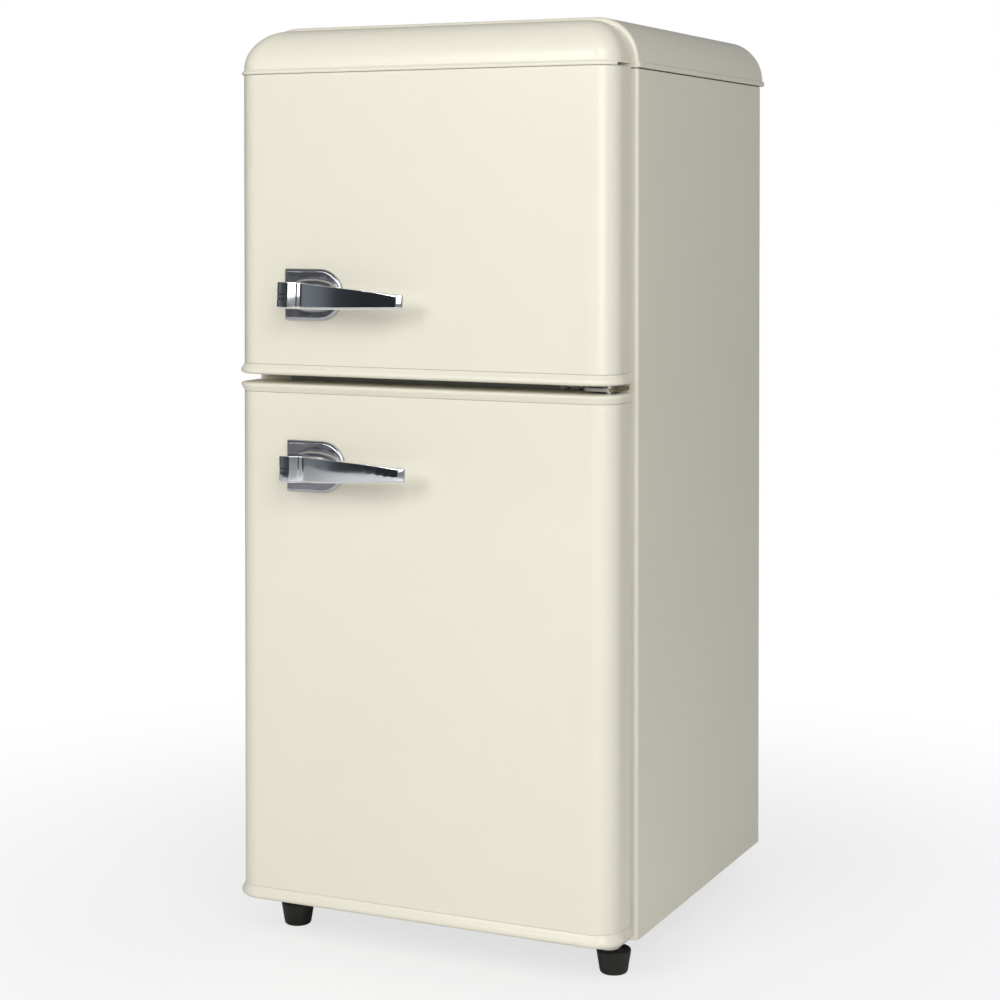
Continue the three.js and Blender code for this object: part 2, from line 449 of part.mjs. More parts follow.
// fresh-food door
{
  const g = fridgeDoor;
  add(g, 'fridge_door_panel', doorPanel(LOWER_SEAM0 + GAP, LOWER_SEAM1 - GAP), CREAM);
  add(g, 'fridge_door_top_cap', cut(beadCap(LOWER_SEAM1, LOWER_Z1), bushHole(530, 545)), CREAM_PLASTIC);
  add(g, 'fridge_door_bottom_cap', cut(beadCap(LOWER_Z0, LOWER_SEAM0), bushHole(40, 60)), CREAM_PLASTIC);
  add(g, 'fridge_door_foam', cut(doorFoam(LOWER_SEAM0 + GAP, LOWER_SEAM1 - GAP),
    cylinderZ(PIN_X, PIN_Y, BUSH_R + 0.6, 530, 540, 16), cylinderZ(PIN_X, PIN_Y, BUSH_R + 0.6, 50, 58, 16)), FOAM);
  add(g, 'fridge_door_liner', doorLiner(LOWER_SEAM0 + GAP, LOWER_SEAM1 - GAP, 85, 512), WHITE);
  add(g, 'fridge_door_gasket', gasket(54.5, 537.5), RUBBER);
  add(g, 'fridge_door_bush_lower', bush(44.4, 57.6), BLACK);
  add(g, 'fridge_door_bush_upper', bush(530.6, 541.6), BLACK);
  add(g, 'fridge_door_rack_lower', rack(92, 156), WHITE);
  add(g, 'fridge_door_rack_upper', rack(331, 379), WHITE);
  add(g, 'fridge_handle_base', handleBase(HANDLE_LOWER_Z).translate([HANDLE_LOWER_DX, 0, 0]), CHROME);
  add(g, 'fridge_handle_lever', handleLever(HANDLE_LOWER_Z, 0).translate([HANDLE_LOWER_DX, 0, 0]), CHROME);
}

fridge.position.y = -(Y_FRONT + Y_REAR) / 2;

export default fridge;
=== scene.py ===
import bpy
import bmesh
import math
from mathutils import Vector, Matrix


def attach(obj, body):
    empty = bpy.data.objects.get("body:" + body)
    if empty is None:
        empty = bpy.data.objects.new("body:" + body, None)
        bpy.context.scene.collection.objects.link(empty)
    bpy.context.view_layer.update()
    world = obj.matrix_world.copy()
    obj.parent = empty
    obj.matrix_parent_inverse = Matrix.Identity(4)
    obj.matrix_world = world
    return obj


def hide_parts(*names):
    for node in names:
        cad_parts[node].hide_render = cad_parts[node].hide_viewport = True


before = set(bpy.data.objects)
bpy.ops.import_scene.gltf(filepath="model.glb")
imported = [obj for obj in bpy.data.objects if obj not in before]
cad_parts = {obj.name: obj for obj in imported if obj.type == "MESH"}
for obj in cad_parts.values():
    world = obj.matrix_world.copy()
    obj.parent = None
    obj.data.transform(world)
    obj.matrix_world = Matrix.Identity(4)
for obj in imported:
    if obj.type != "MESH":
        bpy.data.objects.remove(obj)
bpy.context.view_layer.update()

# Drawing frame: millimetres, Y = 0 on the cabinet's front face. The row frame is shifted in Y.
K = 0.001
OY = -143.0


def P(x, y, z):
    return (x * K, (y + OY) * K, z * K)


# ------------------------------------------------------------------ camera
cam_data = bpy.data.cameras.new("camera")
cam = bpy.data.objects.new("camera", cam_data)
bpy.context.scene.collection.objects.link(cam)
cam_data.sensor_width = 36.0
cam_data.lens = 80.02
cam_data.shift_y = -0.2531
cam_data.clip_start = 0.05
cam_data.clip_end = 60
cam.location = P(937.2, -1890.8, 712.2)
yaw, pitch, roll = math.radians(24.85), math.radians(1.04), math.radians(0.06)
look = Vector((-math.sin(yaw) * math.cos(pitch), math.cos(yaw) * math.cos(pitch), -math.sin(pitch)))
cam.rotation_mode = "QUATERNION"
cam.rotation_quaternion = look.to_track_quat("-Z", "Y")
bpy.context.scene.camera = cam
bpy.context.scene.view_settings.view_transform = "Standard"
bpy.context.scene.view_settings.look = "None"


# ------------------------------------------------------------------ materials
def rgb(r, g, b):
    """sRGB 0..255 to linear."""
    out = []
    for c in (r, g, b):
        c /= 255.0
        out.append(c / 12.92 if c <= 0.04045 else ((c + 0.055) / 1.055) ** 2.4)
    return (*out, 1.0)


def shade(c, k):
    return (min(1, c[0] * k), min(1, c[1] * k), min(1, c[2] * k), 1.0)


class Nodes:
    def __init__(self, name):
        self.m = bpy.data.materials.new(name)
        self.m.use_nodes = True
        self.t = self.m.node_tree
        self.bsdf = self.t.nodes["Principled BSDF"]
        self.coord = self.t.nodes.new("ShaderNodeTexCoord")

    def node(self, kind, **inputs):
        n = self.t.nodes.new(kind)
        for k, v in inputs.items():
            n.inputs[k.replace("_", " ")].default_value = v
        return n

    def link(self, a, b):
        self.t.links.new(a, b)

    def noise(self, scale, detail=3.0, rough=0.55, stretch=None):
        n = self.node("ShaderNodeTexNoise", Scale=scale, Detail=detail, Roughness=rough)
        src = self.coord.outputs["Object"]
        if stretch:
            mp = self.node("ShaderNodeMapping", Scale=stretch)
            self.link(src, mp.inputs["Vector"])
            src = mp.outputs["Vector"]
        self.link(src, n.inputs["Vector"])
        return n.outputs["Fac"]

    def ramp(self, fac, stops):
        r = self.t.nodes.new("ShaderNodeValToRGB")
        els = r.color_ramp.elements
        while len(els) < len(stops):
            els.new(0.5)
        for e, (pos, col) in zip(els, stops):
            e.position = pos
            e.color = col
        self.link(fac, r.inputs["Fac"])
        return r.outputs["Color"]

    def span(self, fac, lo, hi, a=0.3, b=0.7):
        r = self.node("ShaderNodeMapRange")
        r.inputs["From Min"].default_value = a
        r.inputs["From Max"].default_value = b
        r.inputs["To Min"].default_value = lo
        r.inputs["To Max"].default_value = hi
        self.link(fac, r.inputs["Value"])
        return r.outputs["Result"]

    def bump(self, fac, strength, distance):
        b = self.node("ShaderNodeBump", Strength=strength, Distance=distance)
        self.link(fac, b.inputs["Height"])
        if getattr(self, "_bump", None) is not None:
            self.link(self._bump, b.inputs["Normal"])
        self._bump = b.outputs["Normal"]
        self.link(self._bump, self.bsdf.inputs["Normal"])


def plain(name, colour, rough, metal=0.0, vary=0.03, tone=14.0, rough_vary=0.04, grain=900.0,
          grain_depth=0.00001, grain_strength=0.15, coat=0.0, coat_rough=0.1, sheen=0.0, specular=0.5, stretch=None):
    """A finish with tone variation, uneven gloss and a fine surface grain."""
    n = Nodes(name)
    f = n.noise(tone, 4.0)
    n.link(n.ramp(f, [(0.3, shade(colour, 1 - vary)), (0.55, colour), (0.75, shade(colour, 1 + vary * 0.6))]),
           n.bsdf.inputs["Base Color"])
    n.link(n.span(n.noise(tone * 3.1, 3.0, stretch=stretch), rough - rough_vary, rough + rough_vary), n.bsdf.inputs["Roughness"])
    n.bsdf.inputs["Metallic"].default_value = metal
    n.bsdf.inputs["Specular IOR Level"].default_value = specular
    if coat:
        n.bsdf.inputs["Coat Weight"].default_value = coat
        n.bsdf.inputs["Coat Roughness"].default_value = coat_rough
    if grain_strength:
        n.bump(n.noise(grain, 2.0, stretch=stretch), grain_strength, grain_depth)
    return n


ENAMEL_RGB = rgb(238, 234, 217)
m_enamel = plain("cream_enamel", ENAMEL_RGB, 0.24, vary=0.012, tone=5.0, rough_vary=0.03, grain=420.0,
                 grain_depth=0.00002, grain_strength=0.12, coat=0.35, coat_rough=0.06)
m_cap = plain("cream_plastic", shade(ENAMEL_RGB, 1.005), 0.3, vary=0.006, tone=7.0, rough_vary=0.012, grain=700.0,
              grain_depth=0.00002, grain_strength=0.12, coat=0.1, coat_rough=0.16)
m_liner = plain("liner_plastic", rgb(240, 240, 238), 0.34, vary=0.015, tone=9.0, rough_vary=0.05, grain=1100.0,
                grain_depth=0.00002, grain_strength=0.2)
m_white = plain("moulded_white", rgb(236, 237, 236), 0.38, vary=0.02, tone=16.0, rough_vary=0.05, grain=1600.0,
                grain_depth=0.00002, grain_strength=0.25)
m_wirewhite = plain("coated_wire", rgb(238, 238, 236), 0.28, vary=0.02, tone=60.0, rough_vary=0.05, grain=1500.0,
                    grain_depth=0.00002, grain_strength=0.2)
m_chrome = plain("chrome", rgb(226, 229, 233), 0.055, metal=1.0, vary=0.015, tone=30.0, rough_vary=0.02, grain=260.0,
                 grain_depth=0.00001, grain_strength=0.05)
m_chrome_dark = plain("chrome_shaded", rgb(196, 197, 203), 0.22, metal=1.0, vary=0.04, tone=40.0, rough_vary=0.03, grain=300.0,
                      grain_depth=0.00001, grain_strength=0.06)
m_black = plain("black_plastic", rgb(34, 32, 27), 0.5, vary=0.12, tone=60.0, rough_vary=0.08, grain=1800.0,
                grain_depth=0.00004, grain_strength=0.35)
m_blacksteel = plain("black_steel", rgb(24, 25, 27), 0.38, vary=0.15, tone=40.0, rough_vary=0.1, grain=900.0,
                     grain_depth=0.00003, grain_strength=0.3, coat=0.15, coat_rough=0.2)
m_rail = plain("rail_plastic", rgb(184, 184, 180), 0.45, vary=0.06, tone=30.0, rough_vary=0.08, grain=1400.0,
               grain_depth=0.00003, grain_strength=0.3)
m_gasket = plain("gasket_rubber", rgb(120, 121, 119), 0.62, vary=0.06, tone=50.0, rough_vary=0.08, grain=1500.0,
                 grain_depth=0.00004, grain_strength=0.3)
m_alu = plain("aluminium", rgb(200, 202, 205), 0.36, metal=1.0, vary=0.04, tone=20.0, grain=1500.0, stretch=(1.0, 30.0, 1.0))
m_copper = plain("copper", rgb(196, 118, 82), 0.3, metal=1.0, vary=0.12, tone=70.0, rough_vary=0.1, grain=900.0,
                 grain_depth=0.00002, grain_strength=0.2)
m_steelpin = plain("turned_steel", rgb(205, 206, 208), 0.24, metal=1.0, vary=0.04, tone=50.0, rough_vary=0.06,
                   grain=1800.0, grain_depth=0.00001, grain_strength=0.15)
# dark olive for the middle hinge's end right of the pin: painted shade, the end sitting in the freezer door's shadow
# with a dim reflection of the cream door
m_hinge_end_shade = plain("hinge_end_painted_shade", rgb(126, 120, 84), 0.42, metal=0.7, vary=0.08, tone=60.0, rough_vary=0.08, grain=900.0,
               grain_depth=0.00002, grain_strength=0.2)
m_foam = plain("foam", rgb(226, 210, 150), 0.9, vary=0.08, tone=200.0, grain=1500.0, grain_depth=0.0003, grain_strength=0.6)


def galvanised(name, colour, rough):
    """Zinc spangle: crystals a few millimetres across, each with its own tone."""
    n = Nodes(name)
    v = n.node("ShaderNodeTexVoronoi", Scale=160.0)
    n.link(n.coord.outputs["Object"], v.inputs["Vector"])
    sep = n.node("ShaderNodeSeparateColor")
    n.link(v.outputs["Color"], sep.inputs["Color"])
    n.link(n.ramp(sep.outputs["Red"], [(0.0, shade(colour, 0.86)), (0.5, colour), (1.0, shade(colour, 1.1))]),
           n.bsdf.inputs["Base Color"])
    n.link(n.span(sep.outputs["Green"], rough - 0.07, rough + 0.08, 0.0, 1.0), n.bsdf.inputs["Roughness"])
    n.bsdf.inputs["Metallic"].default_value = 0.85
    n.bump(n.noise(500.0, 2.0), 0.12, 0.00002)
    return n


m_zinc = galvanised("galvanised_steel", rgb(186, 189, 192), 0.4)
m_bracket = plain("plated_bracket", rgb(214, 214, 212), 0.34, metal=0.9, vary=0.05, tone=60.0, rough_vary=0.08,
                  grain=1200.0, grain_depth=0.00002, grain_strength=0.2)


def clear(name, tint, rough, ior, bump=0.0, scale=40.0):
    n = Nodes(name)
    f = n.noise(scale, 3.0)
    n.link(n.ramp(f, [(0.3, shade(tint, 0.97)), (0.7, tint)]), n.bsdf.inputs["Base Color"])
    n.link(n.span(n.noise(scale * 2.3, 3.0), max(0.0, rough - 0.02), rough + 0.03), n.bsdf.inputs["Roughness"])
    n.bsdf.inputs["Transmission Weight"].default_value = 1.0
    n.bsdf.inputs["IOR"].default_value = ior
    if bump:
        n.bump(f, bump, 0.0001)
    return n


m_glass = clear("shelf_glass", (0.90, 0.97, 0.94, 1.0), 0.03, 1.5)
m_clear = clear("clear_plastic", (0.93, 0.96, 0.97, 1.0), 0.12, 1.47, bump=0.05)
m_lens = clear("lamp_lens", (0.98, 0.98, 0.96, 1.0), 0.35, 1.47, bump=0.2, scale=300.0)


# ------------------------------------------------------------------ mesh building
def arc(cx, cy, r, a0, a1, n):
    return [(cx + r * math.cos(math.radians(a0 + (a1 - a0) * i / n)),
             cy + r * math.sin(math.radians(a0 + (a1 - a0) * i / n))) for i in range(n + 1)]


def finish_mesh(name, verts, faces, mat, body, node=None, slot=None, bevel=0.0, segs=2, angle=35.0, weld=True,
                smooth=True, weighted=True, solidify=0.0, bevel_angle=40.0):
    me = bpy.data.meshes.new(name)
    me.from_pydata([P(*v) for v in verts], [], faces)
    bm = bmesh.new()
    bm.from_mesh(me)
    if weld:
        bmesh.ops.remove_doubles(bm, verts=bm.verts, dist=2e-6)
        bmesh.ops.dissolve_degenerate(bm, edges=bm.edges, dist=1e-7)
    bmesh.ops.recalc_face_normals(bm, faces=bm.faces)
    bm.to_mesh(me)
    bm.free()
    return dress(name, me, mat, body, node, bevel, segs, angle, smooth, weighted, solidify, bevel_angle)


def dress(name, me, mat, body, node=None, bevel=0.0, segs=2, angle=35.0, smooth=True, weighted=True,
          solidify=0.0, bevel_angle=40.0):
    me.materials.clear()
    me.materials.append(mat.m)
    me.polygons.foreach_set("use_smooth", [smooth] * len(me.polygons))
    if smooth and not bevel:
        me.set_sharp_from_angle(angle=math.radians(angle))
    o = bpy.data.objects.new(name, me)
    bpy.context.scene.collection.objects.link(o)
    if solidify:
        s = o.modifiers.new("thickness", "SOLIDIFY")
        s.thickness = abs(solidify) * K
        s.offset = 1.0 if solidify > 0 else -1.0
    if bevel:
        b = o.modifiers.new("edges", "BEVEL")
        b.width = bevel * K
        b.segments = segs
        b.limit_method = "ANGLE"
        b.angle_limit = math.radians(bevel_angle)
        b.use_clamp_overlap = True
    if weighted and smooth:
        w = o.modifiers.new("normals", "WEIGHTED_NORMAL")
        w.keep_sharp = True
        w.weight = 90
    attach(o, body)
    if node:
        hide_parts(*([node] if isinstance(node, str) else node))
    return o


def prism(axis, pts, a0, a1):
    """Closed solid: a polygon swept along an axis. For Z pts are (x, y), for Y (x, z), for X (y, z)."""
    put = {"Z": lambda p, a: (p[0], p[1], a), "Y": lambda p, a: (p[0], a, p[1]), "X": lambda p, a: (a, p[0], p[1])}[axis]
    n = len(pts)
    verts = [put(p, a0) for p in pts] + [put(p, a1) for p in pts]
    faces = [tuple(range(n)), tuple(range(2 * n - 1, n - 1, -1))]
    faces += [(i, (i + 1) % n, n + (i + 1) % n, n + i) for i in range(n)]
    return verts, faces


def loft(rings, cap0=True, cap1=True, loop=False):
    n = len(rings[0])
    verts = [v for r in rings for v in r]
    faces = []
    m = len(rings)
    for k in range(m if loop else m - 1):
        a, b = k * n, ((k + 1) % m) * n
        faces += [(a + i, a + (i + 1) % n, b + (i + 1) % n, b + i) for i in range(n)]
    if not loop:
        if cap0:
            faces.append(tuple(range(n - 1, -1, -1)))
        if cap1:
            faces.append(tuple(range((m - 1) * n, m * n)))
    return verts, faces


def join(*parts):
    verts, faces = [], []
    for v, f in parts:
        o = len(verts)
        verts += v
        faces += [tuple(i + o for i in face) for face in f]
    return verts, faces


def boxm(x0, x1, y0, y1, z0, z1):
    return prism("Z", [(x0, y0), (x1, y0), (x1, y1), (x0, y1)], z0, z1)


def lathe(cx, cy, cz, profile, n=32, axis="Z"):
    """profile: (radius, height) along the axis, ends on the axis."""
    rings = []
    for r, h in profile:
        ring = []
        for i in range(n):
            a = 2 * math.pi * i / n
            u, v = r * math.cos(a), r * math.sin(a)
            ring.append({"Z": (cx + u, cy + v, cz + h), "Y": (cx + u, cy + h, cz + v), "X": (cx + h, cy + u, cz + v)}[axis])
        rings.append(ring)
    return loft(rings)


def sweep(points, r, sides=10, closed=False):
    """A round tube along points (drawing frame, mm)."""
    pts = [Vector(p) for p in points]
    n = len(pts)
    tang = []
    for i in range(n):
        a = pts[(i - 1) % n] if closed or i else pts[i]
        b = pts[(i + 1) % n] if closed or i < n - 1 else pts[i]
        tang.append((b - a).normalized())
    ref = Vector((0, 0, 1)) if abs(tang[0].z) < 0.9 else Vector((1, 0, 0))
    u = tang[0].cross(ref).normalized()
    rings = []
    for i in range(n):
        if i:
            q = tang[i - 1].rotation_difference(tang[i])
            u = (q @ u).normalized()
        w = tang[i].cross(u).normalized()
        rings.append([tuple(pts[i] + (u * math.cos(2 * math.pi * k / sides) + w * math.sin(2 * math.pi * k / sides)) * r)
                      for k in range(sides)])
    return loft(rings, loop=closed)


def boolean(name, base, tools, op="DIFFERENCE"):
    """Exact boolean of mesh data (verts, faces) in the drawing frame; returns a mesh datablock in the row frame."""
    def tmp(vf):
        me = bpy.data.meshes.new("tmp")
        me.from_pydata([P(*v) for v in vf[0]], [], vf[1])
        bm = bmesh.new()
        bm.from_mesh(me)
        bmesh.ops.remove_doubles(bm, verts=bm.verts, dist=2e-6)
        bmesh.ops.recalc_face_normals(bm, faces=bm.faces)
        bm.to_mesh(me)
        bm.free()
        o = bpy.data.objects.new("tmp", me)
        bpy.context.scene.collection.objects.link(o)
        return o
    o = tmp(base)
    cutters = []
    for t in tools:
        c = tmp(t[0] if isinstance(t[0], tuple) else t)
        cutters.append(c)
        md = o.modifiers.new("b", "BOOLEAN")
        md.operation = t[1] if isinstance(t[0], tuple) else op
        md.solver = "EXACT"
        md.object = c
    dg = bpy.context.evaluated_depsgraph_get()
    me = bpy.data.meshes.new_from_object(o.evaluated_get(dg))
    for x in [o, *cutters]:
        bpy.data.objects.remove(x)
    me.name = name
    bm = bmesh.new()
    bm.from_mesh(me)
    bmesh.ops.remove_doubles(bm, verts=bm.verts, dist=1e-6)
    bmesh.ops.dissolve_degenerate(bm, edges=bm.edges, dist=1e-7)
    bm.to_mesh(me)
    bm.free()
    return me


def dress_cad(node, mat, bevel=0.0, segs=2):
    """A CAD node that stays: welded, softened edges and a proper finish."""
    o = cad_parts[node]
    o.data.materials.clear()
    o.data.materials.append(mat.m)
    if bevel:
        w = o.modifiers.new("weld", "WELD")
        w.merge_threshold = 2e-6
        b = o.modifiers.new("edges", "BEVEL")
        b.width = bevel * K
        b.segments = segs
        b.limit_method = "ANGLE"
        b.angle_limit = math.radians(40)
    return o


# ------------------------------------------------------------------ dimensions shared with the CAD
HALF_W, DEPTH, Z_BASE, Z_SEAM, Z_TOP = 200.0, 354.0, 39.0, 839.0, 886.3
ARCH_R = 42.0
DOOR_X, DOOR_F, DOOR_RR, DOOR_R, BEAD = 196.0, -51.5, -7.0, 23.0, 3.5
PIN_X, PIN_Y = 182.0, -26.0
CAV_X, CAV_Y = 160.0, 312.0


def arch(half, r, top, low, n=20, lip=None):
    pts = [(-half, low), (half, low)] if lip is None else lip(-1) + lip(1)
    return pts + arc(half - r, top - r, r, 0, 90, n) + arc(-half + r, top - r, r, 90, 180, n)


# ------------------------------------------------------------------ cabinet shell
def side_panel(s):
    r, t, w = 3.5, 1.0, HALF_W
    pts = [(164, 0)] + arc(w - r, r, r, 270, 360, 10) + arc(w - 1.2, DEPTH - 1.2, 1.2, 0, 90, 4) + [
        (w - 14, DEPTH), (w - 14, DEPTH - t)] + [(w - t, DEPTH - t)] + arc(w - r, r, r - t, 360, 270, 10) + [(164, t)]
    if s < 0:
        pts = [(-x, y) for x, y in reversed(pts)]
    v, f = prism("Z", pts, Z_BASE, Z_SEAM - 1.1)
    return finish_mesh("side_skin_" + ("right" if s > 0 else "left"), v, f, m_enamel, "cabinet",
                       "side_panel_" + ("right" if s > 0 else "left"), "cream_enamel")


side_panel(-1)
side_panel(1)


def cover():
    half, r = HALF_W, ARCH_R
    re, rings = 3.4, []

    def ring(y, inset):
        return [(x, y, z) for x, z in arch(half - inset, r - inset, Z_TOP - inset, Z_SEAM, 22)]
    for i in range(7):
        t = math.radians(90 * i / 6)
        rings.append(ring(re * (1 - math.cos(t)), re * (1 - math.sin(t))))
    for i in range(5):
        t = math.radians(90 * i / 4)
        rings.append(ring(363.3 - 2.6 * (1 - math.sin(t)), 2.6 * (1 - math.cos(t))))
    body = loft(rings)
    lip_rings = []
    for z, d in [(Z_SEAM, 0.9), (Z_SEAM + 0.3, 0.3), (Z_SEAM + 0.9, 0.0), (Z_SEAM + 3.6, 0.0), (Z_SEAM + 4.5, 0.35),
                 (Z_SEAM + 5.1, 1.0), (Z_SEAM + 5.5, 1.9)]:
        w, y1 = HALF_W + 1.7 - d, 365 - d
        lip_rings.append([(w, 1.6 + 0.0, z), (w, y1 - 3, z)] + [(x, y, z) for x, y in arc(w - 3, y1 - 3, 3, 0, 90, 4)][1:]
                         + [(x, y, z) for x, y in arc(-w + 3, y1 - 3, 3, 90, 180, 4)] + [(-w, 1.6, z)])
    me = boolean("cover_shell", body, [loft(lip_rings)], "UNION")
    dress("cover_shell", me, m_enamel, "cabinet", "top_cover", angle=30)
    # the header that the cover folds down behind the freezer door
    v, f = boxm(-163.7, 163.7, 0, 1.4, 808.2, Z_SEAM + 1)
    finish_mesh("cover_header", v, f, m_enamel, "cabinet", None, "cream_enamel", bevel=0.3)


cover()


def seam_shade_strip():
    # a black strip under the cover's lip, put in the seam as painted shade: it makes the dark line round the cabinet
    # that the gap's shadow gives
    parts = []
    for s in (-1, 1):
        pts = [(164, 0.9), (196.5, 0.9), (199.1, 3.5), (199.1, 352.8), (197.6, 352.8), (197.6, 4.1), (195.9, 2.4), (164, 2.4)]
        pts = [(s * x, y) for x, y in pts]
        parts.append(prism("Z", pts if s > 0 else pts[::-1], Z_SEAM - 1.6, Z_SEAM - 0.02))
    finish_mesh("cover_seam_shade_strip", *join(*parts), m_black, "cabinet", None, "black_plastic")


seam_shade_strip()

v, f = boxm(-198.6, 198.6, DEPTH - 2.4, DEPTH - 1.4, 210.9, 838.3)
ribs = []
for z in (300, 420, 540, 660, 780):
    ribs.append(loft([[(-150 + 6 * k, DEPTH - 1.4 + 1.1 * h, z - 7 + e), (150 - 6 * k, DEPTH - 1.4 + 1.1 * h, z - 7 + e),
                       (150 - 6 * k, DEPTH - 1.4 + 1.1 * h, z + 7 - e), (-150 + 6 * k, DEPTH - 1.4 + 1.1 * h, z + 7 - e)]
                      for k, h, e in ((0, -0.3, 0), (0.2, 0.4, 1.2), (0.6, 0.9, 2.6), (1.0, 1.0, 4.0))]))
me = boolean("back_sheet", (v, f), ribs, "UNION")
dress("back_sheet", me, m_zinc, "cabinet", "back_panel", angle=25)

base = join(prism("Z", [(-198.6, 352.5), (-198.6, 5.3), (-194.6, 1.3), (194.6, 1.3), (198.6, 5.3), (198.6, 352.5)], Z_BASE, Z_BASE + 1.5))
me = boolean("base_sheet", base, [boxm(-163.7, 163.7, 0.05, 1.4, Z_BASE, 73.7)], "UNION")
dress("base_sheet", me, m_zinc, "cabinet", "base_pan", angle=30)
dress_cad("compressor_bay_panel", m_zinc, 0.3)
dress_cad("insulation_foam", m_foam)
dress_cad("evaporator_plate", m_alu)
foam = dress_cad("freezer_door_foam", m_foam)
foam.modifiers.new("weld", "WELD").merge_threshold = 2e-6
# drawn 3.2 mm inside its own surface, so that its corner does not show through the rounder cap
shrink = foam.modifiers.new("shrink", "DISPLACE")
shrink.mid_level = 0.0
shrink.strength = -0.0032
dress_cad("fridge_door_foam", m_foam)
dress_cad("center_rail", m_rail, 0.35)


# ------------------------------------------------------------------ doors
def plan_ring(z, inset, r=None, rear=DOOR_RR, chamfer=1.0, n=14):
    w, front = DOOR_X - inset, DOOR_F + inset
    r = max(3.0, DOOR_R - inset) if r is None else r
    pts = [(w, rear - chamfer), (w - chamfer, rear), (-w + chamfer, rear), (-w, rear - chamfer)]
    pts += arc(-w + r, front + r, r, 180, 270, n) + arc(w - r, front + r, r, 270, 360, n)
    return [(x, y, z) for x, y in pts]


def stacked(profile, **kw):
    return loft([plan_ring(z, d, **kw) for z, d in profile])


def door_panel(name, node, body, z0, z1):
    t, w, fr, r, ry = 1.0, DOOR_X, DOOR_F, DOOR_R, DOOR_RR
    pts = [(-w + 13, ry), (-w, ry)] + arc(-w + r, fr + r, r, 180, 270, 18) + arc(w - r, fr + r, r, 270, 360, 18) + [
        (w, ry), (w - 13, ry), (w - 13, ry - t), (w - t, ry - t)] + arc(w - r, fr + r, r - t, 360, 270, 18) + arc(
        -w + r, fr + r, r - t, 270, 180, 18) + [(-w + t, ry - t), (-w + 13, ry - t)]
    v, f = prism("Z", pts, z0, z1)
    return finish_mesh(name, v, f, m_enamel, body, node, "cream_enamel")


door_panel("freezer_door_skin", "freezer_door_panel", "freezer_door", 561.3, 838.7)
door_panel("fridge_door_skin", "fridge_door_panel", "fridge_door", 56.3, 534.2)


def hole(z0, z1, r=6.15):
    return prism("Z", arc(PIN_X, PIN_Y, r, 0, 360 - 15, 23), z0, z1)


# beaded caps: the bead flares out of the panel and rounds under; each point is a share of the height and a depth
bead_round = [(0.0, 1.6), (0.015, 0.2), (0.05, -1.0), (0.12, -2.3), (0.21, -3.1), (0.31, -3.45), (0.42, -3.4), (0.54, -2.9), (0.66, -2.0),
              (0.78, -1.15), (0.89, -0.5), (0.97, -0.1), (1.0, 0.12)]
bead_lip = [(0.0, 1.6), (0.012, 0.2), (0.04, -1.2), (0.09, -2.4), (0.16, -3.1), (0.25, -3.3), (0.4, -2.85), (0.56, -2.1), (0.72, -1.3),
            (0.86, -0.6), (0.96, -0.15), (1.0, 0.12)]


def bead_profile(z_gap, direction, height, shape):
    pts = [(z_gap + direction * h * height, d) for h, d in shape]
    return pts if direction > 0 else list(reversed(pts))


def cap(name, node, body, profile, z0, z1):
    me = boolean(name, stacked(profile, chamfer=2.6), [hole(z0 - 5, z1 + 5)])
    return dress(name, me, m_cap, body, node, angle=40)


cap("freezer_door_bead", "freezer_door_bottom_cap", "freezer_door", bead_profile(551.0, 1, 10.0, bead_round), 551.0, 561)
cap("fridge_door_bead_top", "fridge_door_top_cap", "fridge_door", bead_profile(543.0, -1, 8.5, bead_lip), 534.5, 543)
cap("fridge_door_bead_bottom", "fridge_door_bottom_cap", "fridge_door", bead_profile(44.0, 1, 12.0, bead_round), 44, 56)


def nose():
    R, zc = 38.0, 844.3
    rings = []
    for z, d in [(839.0, -0.9), (839.25, -1.6), (839.8, -2.1), (840.6, -2.3), (841.4, -2.15), (842.2, -1.5), (842.9, -0.7), (843.6, -0.15)]:
        rings.append(plan_ring(z, d, chamfer=2.4, n=16))
    for i in range(19):
        t = math.radians(90 * i / 18)
        d, z = R * (1 - math.cos(t)), zc + R * math.sin(t)
        r = 4.0 + 19.0 * math.cos(t) ** 0.7 if t < math.radians(89.9) else 4.0
        ring = plan_ring(z, d, r=r, chamfer=0.4 + 2.0 * math.cos(t), n=16)
        rings.append(ring)
    body = loft(rings)
    c, end = 7.2, math.radians(90 - 112)
    near = (PIN_X + c * math.sin(end), PIN_Y - c * math.cos(end))
    far = (near[0] + 60 * math.cos(end), near[1] + 60 * math.sin(end))
    slot = prism("Z", [(PIN_X - c, 20), (PIN_X - c, PIN_Y)] + [
        p for p in arc(PIN_X, PIN_Y, c, 180, 270 + math.degrees(end) , 12)][1:-1] + [near, far, (250, 20)], 838, 841.8)
    me = boolean("freezer_door_nose", body, [slot])
    dress("freezer_door_nose", me, m_cap, "freezer_door", "freezer_door_top_cap", angle=48)


nose()


def rrect(x0, x1, z0, z1, r, n=8):
    return (arc(x1 - r, z0 + r, r, 270, 360, n) + arc(x1 - r, z1 - r, r, 0, 90, n)
            + arc(x0 + r, z1 - r, r, 90, 180, n) + arc(x0 + r, z0 + r, r, 180, 270, n))


